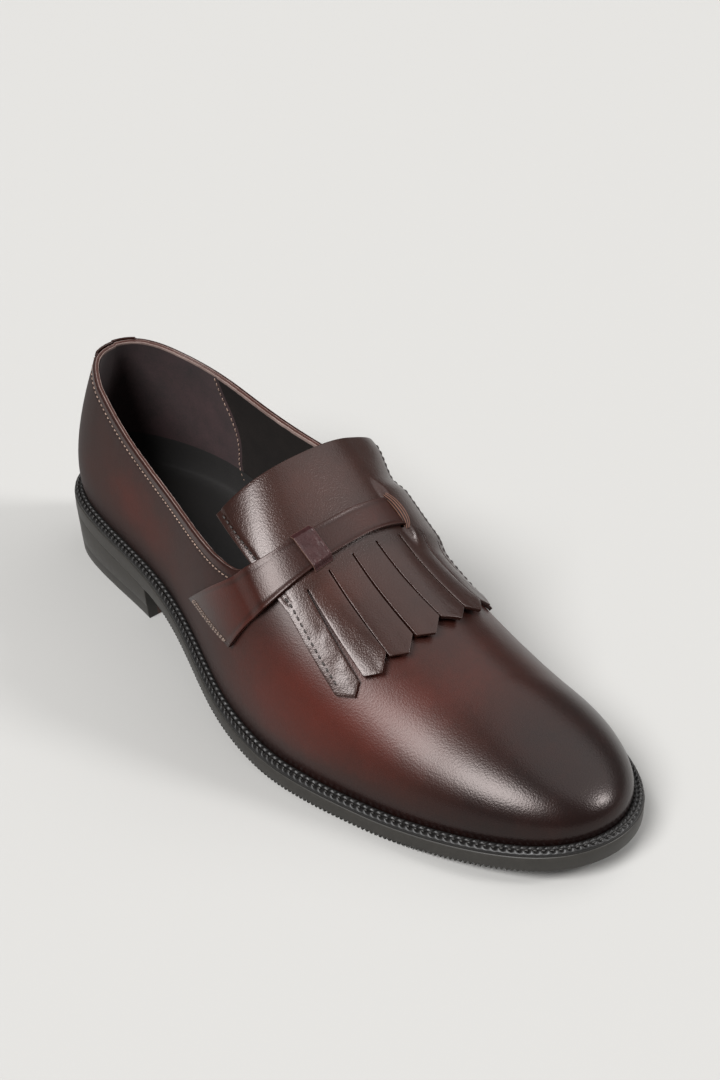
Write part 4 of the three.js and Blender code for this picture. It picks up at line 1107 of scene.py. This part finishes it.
class LOAFER_OT_fringed_tongue(bpy.types.Operator):
    """Builds the tongue with its slot and eight strips, and the stitching of its margins"""

    bl_idname = "loafer.fringed_tongue"
    bl_label = "Fringed tongue"

    def execute(self, context):
        leather = shoe_materials(context)
        lift = context.scene.loafer_fringe.lift * 1000
        columns = self.columns()
        edge_rows, slot_rows = 15, 12
        body = np.concatenate([np.linspace(0, 1, edge_rows)[:-1], 1 + np.linspace(0, 1, slot_rows)])
        downs = np.linspace(0, 1, 26)[1:]
        slit_row = len(body)
        inside, outside, tints = [], [], []
        for column in columns:
            ratio = column["top"] / TONGUE_HALF_AT(SLIT_LINE)
            edge = lerp(TONGUE_EDGE_MIDDLE, TONGUE_EDGE_SIDE, ratio ** 2)
            along = np.where(body < 1, lerp(edge, SLOT_START, body),
                             lerp(SLOT_START, SLOT_END, body - 1))
            along = np.append(along, SLIT_LINE)
            across = ratio * TONGUE_HALF_AT(along)
            shape = dict(zip(STRIP_LIES, STRIP_SHAPES[column["strip"]]))
            point = STRIP_POINT * (1 - abs(2 * column["part"] - 1)) * downs
            skew = lerp(-shape["skew"], shape["skew"], column["part"])
            strip_along = lerp(SLIT_LINE, (column["shoulder"] + skew + point) / SOLE_LENGTH, downs)
            spread = lerp(shape["near"], shape["far"], column["part"])
            strip_across = lerp(column["top"], column["end"] + spread, downs)
            free = 1 if 0 < column["strip"] < STRIP_COUNT - 1 else 0
            centre = 2 * column["part"] - 1
            strip_lift = free * (lift + shape["lift"] + shape["tilt"] * centre) * downs ** 2
            strip_lift = strip_lift - free * 0.25 * centre ** 2 * smoothstep(downs, 0, 0.4)
            spots = np.stack([strip_across, strip_along * SOLE_LENGTH, 0 * strip_across], 1)
            crumple = noise(spots, 3.0, column["strip"]) + 0.6 * noise(spots, 1.5, column["strip"])
            strip_lift = strip_lift + shape["crease"] * crumple * smoothstep(downs, 0.05, 0.4)
            across = np.concatenate([across, strip_across])
            along = np.concatenate([along, strip_along])
            rise = np.concatenate([np.zeros(slit_row + 1), strip_lift])
            rise = rise + tongue_rise(across, along)
            margin = TONGUE_HALF_AT(np.minimum(along, SLIT_LINE)) - np.abs(across)
            groove = 0.45 * np.exp(-((margin - MARGIN_STITCH) / 0.8) ** 2) * (along < SLIT_LINE)
            inside.append(on_last(across, along, TONGUE_LOW + rise))
            outside.append(on_last(across, along, TONGUE_HIGH + rise - groove))
            tints.append(self.tint(across, along))
        rows = slit_row + 1 + len(downs)
        quads = []
        for i in range(len(columns) - 1):
            for row in range(rows - 1):
                in_slit = columns[i]["strip"] != columns[i + 1]["strip"] and row >= slit_row
                in_slot = columns[i]["slot"] and edge_rows + 1 <= row < slit_row - 2
                if not (in_slit or in_slot):
                    near, far = i * rows + row, (i + 1) * rows + row
                    quads.append((near, near + 1, far + 1, far))
        points, faces = sheet_solid(np.concatenate(inside), np.concatenate(outside), quads)
        tint = np.concatenate(tints)
        make_piece("fringed_tongue_leather", points, faces, [leather["fringe"]],
                   np.concatenate([tint, tint]), bevel=0.2, replaces=("fringed_tongue",))
        self.margin_stitches(context, leather)
        self.slot_lip(leather)
        return {"FINISHED"}

    def columns(self):
        """Columns of the cut pattern from side to side."""
        columns = []
        for strip in range(STRIP_COUNT):
            sign = -1 if strip < STRIPS_PER_SIDE else 1
            near = STRIPS_PER_SIDE - 1 - strip if sign < 0 else strip - STRIPS_PER_SIDE
            slits = (near + 1, near) if sign < 0 else (near, near + 1)
            gaps = [STRIP_GAP / 2 if slit == near else -STRIP_GAP / 2 for slit in slits]
            tops = [strip_edge(STRIP_TOPS, sign, slit, gap) for slit, gap in zip(slits, gaps)]
            ends = [strip_edge(STRIP_ENDS, sign, slit, gap) for slit, gap in zip(slits, gaps)]
            shoulders = [STRIP_SHOULDERS[sign][slit] for slit in slits]
            for k in range(STRIP_COLUMNS + 1):
                part = k / STRIP_COLUMNS
                in_slot = STRIP_COLUMNS // 3 <= k < 2 * STRIP_COLUMNS // 3
                columns.append({
                    "strip": strip,
                    "part": part,
                    "slot": near == SLOT_STRIP and sign > 0 and in_slot,
                    "top": lerp(tops[0], tops[1], part),
                    "end": lerp(ends[0], ends[1], part),
                    "shoulder": lerp(shoulders[0], shoulders[1], part),
                })
        return columns

    def tint(self, across, along):
        """Darker towards the strips' roots and the free edge, warmer on the outer half."""
        warm = 0.34 + 0.30 * np.exp(-((across + 22) / 13) ** 2) * np.exp(-((along - 0.62) / 0.05) ** 2)
        warm = warm + 0.2 * np.exp(-((across + 4) / 18) ** 2) * np.exp(-((along - 0.54) / 0.03) ** 2)
        roots = np.exp(-((along - SLIT_LINE) / 0.008) ** 2) * 0.15
        return np.clip(warm - roots, 0, 1)

    def margin_stitches(self, context, leather):
        """A row down each side of the tongue and its outer strips, left out under the strap."""
        stitch = context.scene.loafer_fringe.stitch * 1000
        rows = []
        for sign in (OUTER, INNER):
            along = np.linspace(TONGUE_EDGE_SIDE + 0.010, SLIT_LINE, 60)
            across = TONGUE_HALF_AT(along) - MARGIN_STITCH
            downs = np.linspace(0, 0.94, 50)[1:]
            tip = lerp(SLIT_LINE, STRIP_SHOULDERS[sign][-1] / SOLE_LENGTH, downs)
            stray = sign * STRIP_SHAPES[0 if sign < 0 else -1][3]
            tip_across = lerp(TONGUE_HALF_AT(SLIT_LINE), STRIP_ENDS[-1] + stray, downs)
            across = sign * np.concatenate([across, tip_across - MARGIN_STITCH])
            along = np.concatenate([along, tip])
            side, turn, t = pattern_turn(across, along)
            point, normal, _ = last_frame(side, turn, t)
            rise = TONGUE_HIGH + tongue_rise(across, along) - 0.1
            place = np.abs(across) / TONGUE_HALF
            hidden = (across < 0) & (along > STRAP_EDGES["upper_along"](place) - 0.003)
            hidden = hidden & (along < STRAP_EDGES["lower_along"](place) + 0.003)
            path = point + normal * rise[:, None]
            split = np.flatnonzero(hidden)
            if len(split):
                rows.append((path[:split[0]], normal[:split[0]]))
                rows.append((path[split[-1] + 1:], normal[split[-1] + 1:]))
            else:
                rows.append((path, normal))
        stitch_row("tongue_margin_stitches", rows, stitch, 0.42, leather["dark_thread"],
                   0.72)

    def slot_lip(self, leather):
        """The slot's raised edge, cut raw through its layers."""
        along = np.linspace(SLOT_START + 0.003, SLOT_END - 0.001, 40)
        bow = np.sin(math.pi * np.linspace(0, 1, len(along)))
        across = slot_edge(1, along) - 1.5 + 2.2 * bow
        side, turn, t = pattern_turn(across, along)
        point, normal, up = last_frame(side, turn, t)
        arch = bow ** 0.7
        base = point + normal * (TONGUE_LOW + tongue_rise(across, along))[:, None]
        out = unit(np.cross(normal, np.gradient(base, axis=0)))
        out = out * np.sign((out * up).sum(-1))[:, None]
        turn_round = np.linspace(0, 1, 34)
        ridge_height = 0.14
        ridge = 1 + ridge_height * np.abs(np.sin(4 * math.pi * turn_round)) ** 0.7
        out_reach = LIP_FACE * np.cos(turn_round * math.pi / 2) ** 0.8 * ridge - 0.3
        up_reach = LIP_HEIGHT * np.sin(turn_round * math.pi / 2) * ridge
        bulge = 0.45 + 0.55 * arch
        ring = base[:, None] + out[:, None] * (out_reach[None] * bulge[:, None])[..., None]
        ring = ring + normal[:, None] * (up_reach[None] * (0.8 + 0.2 * arch)[:, None])[..., None]
        tint = np.tile((ridge - 1) / ridge_height, len(base)) ** 4 * 0.8
        faces = grid_faces(len(base), len(turn_round), flip=True)
        make_piece("slot_raw_lip", ring.reshape(-1, 3), faces, [leather["layers"]],
                   tint)


class LOAFER_OT_saddle_strap(bpy.types.Operator):
    """Builds the saddle strap with its stitched ends, and the keeper over it"""

    bl_idname = "loafer.saddle_strap"
    bl_label = "Saddle strap and keeper"

    def execute(self, context):
        leather = shoe_materials(context)
        self.make_strap(leather)
        self.make_keeper(leather)
        self.end_stitches(leather)
        return {"FINISHED"}

    def strap_place(self, place, part):
        """Across in mm and along in shares, at a place of the strap and a part of its width."""
        reach = np.abs(place)
        across = lerp(STRAP_EDGES["upper_across"](reach), STRAP_EDGES["lower_across"](reach), part)
        along = lerp(STRAP_EDGES["upper_along"](reach), STRAP_EDGES["lower_along"](reach), part)
        return np.sign(place) * across * TONGUE_HALF, along

    def strap_offset(self, place):
        """Height of the strap's underside: over the tongue, on the upper or through the slot."""
        middle = (SLOT_START + SLOT_END) / 2
        drop_start = (slot_edge(0, middle) + CLEARANCE) / TONGUE_HALF
        drop_end = (slot_edge(1, middle) - CLEARANCE) / TONGUE_HALF
        on_upper = smoothstep(-place, STRAP_OVER_TONGUE, STRAP_ON_UPPER)
        through = np.clip((place - drop_start) / (drop_end - drop_start), 0, 1)
        return lerp(STRAP_LOW, STRAP_WING_LOW, np.maximum(on_upper, through))

    def make_strap(self, leather):
        """The strap with pressed lines along its edges, a rolled lower edge and sunk seams."""
        columns, rows = 260, 25
        place = np.linspace(-STRAP_PLACES[-1], STRAP_PLACES[-1], columns)[:, None]
        part = np.linspace(0, 1, rows)[None, :]
        place, part = np.broadcast_arrays(place, part)
        across, along = self.strap_place(place, part)
        low = self.strap_offset(place)
        width = 10 + 14 * smoothstep(np.abs(place), 1.0, 2.0)
        edge = np.minimum(part, 1 - part) * width
        crease = 1.3
        shape = -0.10 * np.exp(-((edge - crease) / 0.4) ** 2) + 0.05 * np.exp(-(edge / 0.9) ** 2)
        rolled = 0.42 * np.exp(-((1 - part) * width / 1.1) ** 2)
        end = np.clip((STRAP_PLACES[-1] - np.abs(place)) * TONGUE_HALF, 0, 9)
        near, far = STRAP_END_ROWS
        stitched = (-0.12 * np.exp(-((end - near) / 0.6) ** 2)
                    - 0.16 * np.exp(-((end - far) / 0.6) ** 2))
        high = low + STRAP_LEATHER - 0.1 + shape + rolled + stitched
        inside = on_last(across, along, low).reshape(-1, 3)
        outside = on_last(across, along, high).reshape(-1, 3)
        quads = grid_faces(columns, rows, flip=True)
        points, faces = sheet_solid(inside, outside, quads)
        tint = 0.36 + 0.34 * np.exp(-((np.abs(place) - 1.35) / 0.35) ** 2)
        tint = tint + 0.14 * np.exp(-((place - 0.1) / 0.22) ** 2)
        tint = tint * (1 - 0.3 * np.exp(-((edge - crease) / 0.5) ** 2))
        tint = tint * (1 - 0.45 * np.exp(-(end / 3.5) ** 2))
        tint = np.clip(tint, 0, 1).ravel()
        make_piece("saddle_strap_leather", points, faces, [leather["calf"]],
                   np.concatenate([tint, tint]), bevel=0.25, replaces=("saddle_strap",))

    def make_keeper(self, leather):
        """The loop over the strap, crumpled, with raw cut sides, tucked in at both ends."""
        columns, rows = 30, 70
        middle = 1.0 - KEEPER_ACROSS * TONGUE_HALF
        across = middle + KEEPER_WIDTH * np.linspace(-0.5, 0.5, columns)[:, None]
        down = np.linspace(0, 1, rows)[None, :]
        across, down = np.broadcast_arrays(across, down)
        place = np.abs(across) / TONGUE_HALF
        start = STRAP_EDGES["upper_along"](place) - 1.3 / SOLE_LENGTH
        end = STRAP_EDGES["lower_along"](place) + 1.5 / SOLE_LENGTH
        along = lerp(start, end, down)
        tuck = np.minimum(down, 1 - down) * (end - start) * SOLE_LENGTH
        low = lerp(TONGUE_HIGH - 0.4, STRAP_LOW + STRAP_LEATHER + 0.1, smoothstep(tuck, 0, 1.8))
        flat_places = np.stack([across.ravel(), along.ravel() * SOLE_LENGTH, 0 * across.ravel()], 1)
        crumple = 0.20 * noise(flat_places, 2.4, 1) + 0.12 * noise(flat_places, 1.1, 2)
        edge = 1 - np.abs(2 * np.linspace(0, 1, columns) - 1)[:, None]
        crumple = crumple.reshape(across.shape) * smoothstep(edge, 0, 0.4)
        crumple = crumple - 0.08 * np.exp(-((edge - 0.25) / 0.1) ** 2)
        inside = on_last(across, along, low).reshape(-1, 3)
        outside = on_last(across, along, low + KEEPER_LEATHER - 0.15 + crumple).reshape(-1, 3)
        quads = grid_faces(columns, rows)
        points, faces = sheet_solid(inside, outside, quads)
        tint = np.clip(0.45 + 0.6 * crumple, 0, 1).ravel()
        face_slots = np.zeros(len(faces), int)
        face_slots[2 * len(quads):] = 1
        make_piece("strap_keeper_leather", points, faces, [leather["keeper"], leather["raw"]],
                   np.concatenate([tint, tint]), face_slots=face_slots, bevel=0.2,
                   replaces=("strap_keeper",))

    def end_stitches(self, leather):
        """A double row along each stitched end, closed into a box at both edges."""
        rows = []
        for sign in (OUTER, INNER):
            near, far = (STRAP_PLACES[-1] - row / TONGUE_HALF for row in STRAP_END_ROWS)
            part = np.linspace(0.10, 0.90, 40)
            for place in (near, far):
                rows.append((sign * np.full(40, place), part))
            for edge in (0.10, 0.90):
                rows.append((sign * np.linspace(near, far, 12), np.full(12, edge)))
        paths = []
        for place, part in rows:
            across, along = self.strap_place(place, part)
            side, turn, t = pattern_turn(across, along)
            point, normal, _ = last_frame(side, turn, t)
            lift = self.strap_offset(place) + STRAP_LEATHER - 0.1
            paths.append((point + normal * lift[:, None], normal))
        stitch_row("strap_end_stitches", paths, 1.9, 0.36, leather["brown_thread"],
                   0.68)


class LOAFER_OT_sole(bpy.types.Operator):
    """Builds the outsole with its serrated tread edge, the heel, the welt and the insole sock"""

    bl_idname = "loafer.sole"
    bl_label = "Sole, heel, welt and insole"

    def execute(self, context):
        settings = context.scene.loafer_sole
        leather = shoe_materials(context)
        worn = tuple(min(1.0, c * 1.5) for c in settings.rubber)
        rubber = moulded_rubber("satin_moulded_rubber", tuple(settings.rubber), worn, 0.42, 3.0)
        braid = moulded_rubber("gimped_welt_rubber", tuple(settings.welt), linear("#1d1b1a"), 0.38,
                               1.6)
        self.make_outsole(settings.tooth * 1000, rubber)
        self.make_heel(rubber)
        self.make_welt(settings.braid * 1000, braid)
        self.make_insole(leather)
        return {"FINISHED"}

    def ring(self, signs, turns, inset, height):
        """A loop drawn in from the outline, at a height worked out from the share."""
        point = inset_point(signs, turns, np.broadcast_to(inset, turns.shape))
        share = share_at(point[:, 1])
        return np.concatenate([point, height(share)[:, None]], 1)

    def fan_caps(self, columns, rows, row, flip):
        """Strips from side to side that close one ring of a swept loop."""
        faces = []
        for i in range(columns // 2):
            a, b = i, i + 1
            c, d = columns - 2 - i, columns - 1 - i
            if b >= c:
                break
            quad = tuple(v * rows + row for v in (a, b, c, d))
            faces.append(quad[::-1] if flip else quad)
        return faces

    def make_outsole(self, tooth, rubber):
        """The outsole from its tread over the teeth and the bevel up to its top."""
        signs, turns, lengths = loop_stations(tooth / 4)
        share = share_at(outline_point(signs, turns)[:, 1])
        strength = smoothstep(share, 0.28, 0.34) * (1 - smoothstep(share, 0.90, 0.97))
        bite = (np.cos(2 * math.pi * lengths / tooth) > 0).astype(float) * strength
        away = 0.12 + 0.88 * smoothstep(share, 0.25, 0.28)
        none = 0 * bite
        profile = (
            (6.0 + none, sole_under),
            (0.9 * away, lambda s: sole_under(s) + 0.7 * bite),
            (0.35 * away + 0.55 * bite, lambda s: sole_under(s) + 0.12 + 0.75 * bite),
            (0.08 * away + 0.75 * bite, lambda s: sole_under(s) + 0.6 + 0.4 * bite),
            (0.10 * away + 0.1 * bite, lambda s: sole_under(s) + 1.35),
            (none, lambda s: sole_under(s) + 1.8),
            (none, lambda s: sole_under(s) + SOLE_THICKNESS * 0.6),
            (none, lambda s: sole_top(s) - 0.5),
            (0.15 + none, lambda s: sole_top(s) - 0.12),
            (0.5 + none, sole_top),
            (8.0 + none, sole_top),
        )
        rings = [self.ring(signs, turns, inset, height) for inset, height in profile]
        points = np.stack(rings, 1).reshape(-1, 3)
        rows, columns = len(profile), len(turns)
        faces = grid_faces(columns, rows, wrap=True)
        faces += self.fan_caps(columns, rows, 0, True)
        faces += self.fan_caps(columns, rows, rows - 1, False)
        make_piece("outsole_rubber", points, faces, [rubber], replaces=("outsole",))

    def make_heel(self, rubber):
        """The heel block with its top piece, a groove above that and a hollow front face."""
        front = SOLE_LENGTH / 2 - HEEL_LENGTH
        front_turn = math.acos(1 - 2 * HEEL_LENGTH / SOLE_LENGTH)
        steps = 90
        outer = np.linspace(front_turn, 0.001, steps)
        signs = np.repeat((-1.0, 1.0), steps)
        turns = np.concatenate([outer, outer[::-1]])
        # Inset, height as a part of the sole's height above the floor, and mm added to that
        levels = (
            (HEEL_TAPER + 1.0, 0.0, 0.0),
            (HEEL_TAPER + 0.35, 0.0, 0.15),
            (HEEL_TAPER + 0.05, 0.0, 0.7),
            (HEEL_TAPER * 0.75, 0.0, 5.7),
            (HEEL_TAPER * 0.75 + 0.08, 0.0, 5.85),
            (HEEL_TAPER * 0.74, 0.0, 6.0),
            (HEEL_TAPER * 0.5 + 0.06, 0.5, 0.0),
            (0.12, 1.0, -0.5),
            (0.3, 1.0, -CLEARANCE),
        )
        rings = []
        for inset, part, extra in levels:
            side = self.ring(signs, turns, inset, lambda s: sole_under(s) * part + extra)
            across = np.linspace(0, 1, 16)[1:-1, None]
            face = lerp(side[-1], side[0], across)
            face[:, 1] = front + 1.2 * np.sin(math.pi * across[:, 0])
            side[0, 1] = side[-1, 1] = front
            rings.append(np.concatenate([side, face]))
        points = np.stack(rings, 1).reshape(-1, 3)
        columns, rows = len(rings[0]), len(levels)
        faces = grid_faces(columns, rows, wrap=True, flip=True)
        bottom = tuple(i * rows for i in range(columns))
        top = tuple(i * rows + rows - 1 for i in range(columns))
        faces += [bottom, top[::-1]]
        slots = np.zeros(len(faces), int)
        slots[2 * steps * (rows - 1):(columns - 1) * (rows - 1)] = 1
        breast = soft_lining("stained_heel_breast", linear("#2a1c18"), linear("#553a2e"), 2.0, 0.6,
                             0.0)
        make_piece("heel_block", points, faces, [rubber, breast], face_slots=slots,
                   bevel=0.4, replaces=("heel",))

    def make_welt(self, braid, material):
        """The welt with two rows of slanting braid pressed into it, and its stitches."""
        outer_row, inner_row = 0.33, 0.74
        signs, turns, lengths = loop_stations(braid / 8)
        low = sole_top(share_at(inset_point(signs, turns, WELT_INSET)[:, 1])) + 0.02
        share = half_section(signs, turns)[1]
        level = level_at(signs, turns, sole_top(share) + CLEARANCE + WELT_THICKNESS + 0.5)
        inner = last_point(signs, turns, level, np.full(len(turns), 0.1))
        outer = np.concatenate([inset_point(signs, turns, WELT_INSET), low[:, None]], 1)
        rim = outer + np.array([0, 0, WELT_THICKNESS - 0.25])
        phase = 2 * math.pi * lengths / braid
        rings = [outer, outer + np.array([0, 0, 0.7])]
        for v in np.linspace(0, 1, 15):
            outward, inward = v - outer_row, v - inner_row
            rise = np.exp(-(outward / 0.17) ** 2) * (0.42 * np.cos(phase + 5 * outward) + 0.15)
            rise += np.exp(-(inward / 0.13) ** 2) * (0.30 * np.cos(phase - 6 * inward + 1.4) + 0.1)
            rise -= 0.3 * math.exp(-((v - 0.56) / 0.05) ** 2) + 0.25 * math.exp(-((v - 1) / 0.1) ** 2)
            rise -= 0.35 * math.exp(-(v / 0.07) ** 2)
            row = lerp(rim, inner, v)
            row[:, 2] += rise
            rings.append(row)
        points = np.stack(rings, 1).reshape(-1, 3)
        faces = grid_faces(len(turns), len(rings), wrap=True)
        make_piece("welt_braid", points, faces, [material], replaces=("welt",))
        path = lerp(rim, inner, outer_row) + np.array([0, 0, 0.42])
        ups = np.tile((0.0, 0.0, 1.0), (len(path), 1))
        thread = twisted_thread("black_welt_thread", linear("#2b2826"), linear("#0c0b0a"))
        stitch_row("welt_stitches", [(path, ups)], braid, 0.36, thread, 0.5)

    def make_insole(self, leather):
        """The sock over the insole, cupped up the walls round the heel."""
        signs, turns, _ = loop_stations(2.2)
        controls, share, _ = half_section(signs, turns)
        sunk = CLEARANCE + INSOLE_THICKNESS - 0.3
        seat = sole_top(share) + sunk
        cup = lerp(SOCK_CUP, 0.8, smoothstep(share, 0.26, 0.60))
        rings = []
        for part in np.linspace(1, 0, 11):
            level = level_at(signs, turns, seat + cup * part)
            inward = UPPER_WALL + 0.75 + 1.4 * (1 - part) ** 3
            rings.append(last_point(signs, turns, level, np.full(len(turns), -inward)))
        foot, middle = rings[-1], controls[3]
        for part in (0.03, 0.07, 0.12, 0.2, 0.32, 0.46, 0.62, 0.8, 1.0):
            ring = lerp(foot, middle, part)
            reach = part * np.linalg.norm((middle - foot)[:, :2], axis=1)
            rise = 0.9 * np.exp(-(reach / 2.5) ** 2) + 0.5 * smoothstep(reach, 4, 18) - 0.9
            ring[:, 2] = sole_top(share_at(ring[:, 1])) + sunk + rise
            rings.append(ring)
        points = np.stack(rings, 1).reshape(-1, 3)
        faces = grid_faces(len(turns), len(rings), wrap=True)
        make_piece("insole_sock", points, faces, [leather["sock"]], replaces=("insole",))


# The camera's turn, tilt and roll in degrees, what it looks at in metres, and its lens in mm
CAMERA_ANGLES = (-40.503, 33.278, -1.125)
CAMERA_TARGET = (0.02807, 0.01174, 0.04)
CAMERA_LENS = 55.66


class LOAFER_OT_stage(bpy.types.Operator):
    """Builds the floor, the soft lights and the camera"""

    bl_idname = "loafer.stage"
    bl_label = "Stage"

    def execute(self, context):
        settings = context.scene.loafer_stage
        self.make_floor(tuple(settings.floor))
        self.make_lights(settings.key)
        self.make_camera(context, settings.distance)
        return {"FINISHED"}

    def make_floor(self, colour):
        """Matt seamless paper, which shows soft shadows and no highlights."""
        material, tree = new_material("seamless_paper")
        shader = add_node(tree, "ShaderNodeBsdfPrincipled",
                          {"Base Color": (*colour, 1), "Roughness": 0.9, "Specular IOR Level": 0.15})
        finish_material(tree, shader)
        size = 6.0
        corners = [(-size, -size, 0), (size, -size, 0), (size, size, 0), (-size, size, 0)]
        mesh = bpy.data.meshes.new("floor")
        mesh.from_pydata(corners, [], [(0, 1, 2, 3)])
        mesh.materials.append(material)
        floor = bpy.data.objects.new("floor", mesh)
        bpy.context.scene.collection.objects.link(floor)

    def make_lights(self, key):
        """A soft key light high on the outer side, a fill over the toe and one overhead."""
        # Name, direction that the light comes from, width in degrees and strength
        lights = (
            ("key_light", (-0.65, -0.11, 0.75), 29, key),
            ("toe_light", (0.51, -0.63, 0.59), 14, key * 0.34),
            ("overhead_light", (0.50, -0.15, 0.85), 60, key * 0.24),
        )
        for name, aim, width, strength in lights:
            data = bpy.data.lights.new(name, "SUN")
            data.angle, data.energy = math.radians(width), strength
            light = bpy.data.objects.new(name, data)
            away = Vector(aim).normalized()
            light.location = away * 3
            light.rotation_euler = away.to_track_quat("Z", "Y").to_euler()
            bpy.context.scene.collection.objects.link(light)
        world = bpy.data.worlds.new("studio")
        world.use_nodes = True
        background = world.node_tree.nodes["Background"]
        background.inputs["Color"].default_value = (*linear("#f6f5f2"), 1)
        background.inputs["Strength"].default_value = 0.2
        bpy.context.scene.world = world
        bpy.context.scene.view_settings.view_transform = "Standard"

    def make_camera(self, context, distance):
        """The photo's view: turned round the shoe, tilted down and rolled a little."""
        turn, tilt, roll = (math.radians(angle) for angle in CAMERA_ANGLES)
        target = Vector(CAMERA_TARGET) + Vector((SHIFT[0] / 1000, 0, 0))
        level = Vector((math.sin(turn), -math.cos(turn), 0)) * math.cos(tilt)
        back = level + Vector((0, 0, math.sin(tilt)))
        right = Vector((math.cos(turn), math.sin(turn), 0))
        up = back.cross(right)
        side = right * math.cos(roll) + up * math.sin(roll)
        top = up * math.cos(roll) - right * math.sin(roll)
        data = bpy.data.cameras.new("camera")
        data.sensor_fit = "AUTO"
        data.sensor_width = 36
        data.lens = CAMERA_LENS
        data.clip_start = 0.01
        camera = bpy.data.objects.new("camera", data)
        rotation = Matrix((side, top, back)).transposed().to_4x4()
        camera.matrix_world = Matrix.Translation(target + back * distance) @ rotation
        bpy.context.scene.collection.objects.link(camera)
        context.scene.camera = camera


class LOAFER_PT_panel(bpy.types.Panel):
    """Lists the loafer's pieces in the sidebar"""

    bl_idname = "LOAFER_PT_panel"
    bl_label = "Fringed loafer"
    bl_space_type = "VIEW_3D"
    bl_region_type = "UI"
    bl_category = "Loafer"

    def draw(self, context):
        for operator in OPERATORS:
            self.layout.operator(operator.bl_idname)
        for group in SETTINGS:
            settings = getattr(context.scene, group)
            for name in settings.bl_rna.properties.keys():
                if name not in ("rna_type", "name"):
                    self.layout.prop(settings, name)


OPERATORS = (
    LOAFER_OT_sole,
    LOAFER_OT_upper,
    LOAFER_OT_fringed_tongue,
    LOAFER_OT_saddle_strap,
    LOAFER_OT_stage,
)
SETTINGS = {
    "loafer_upper": UpperSettings,
    "loafer_fringe": FringeSettings,
    "loafer_sole": SoleSettings,
    "loafer_stage": StageSettings,
}


def register():
    for group, settings in SETTINGS.items():
        bpy.utils.register_class(settings)
        setattr(bpy.types.Scene, group, PointerProperty(type=settings))
    for operator in OPERATORS:
        bpy.utils.register_class(operator)
    bpy.utils.register_class(LOAFER_PT_panel)


def unregister():
    bpy.utils.unregister_class(LOAFER_PT_panel)
    for operator in reversed(OPERATORS):
        bpy.utils.unregister_class(operator)
    for group, settings in SETTINGS.items():
        delattr(bpy.types.Scene, group)
        bpy.utils.unregister_class(settings)


def main():
    """Builds the shoe and its stage."""
    register()
    bpy.ops.loafer.sole()
    bpy.ops.loafer.upper()
    bpy.ops.loafer.fringed_tongue()
    bpy.ops.loafer.saddle_strap()
    bpy.ops.loafer.stage()


if __name__ == "__main__":
    main()
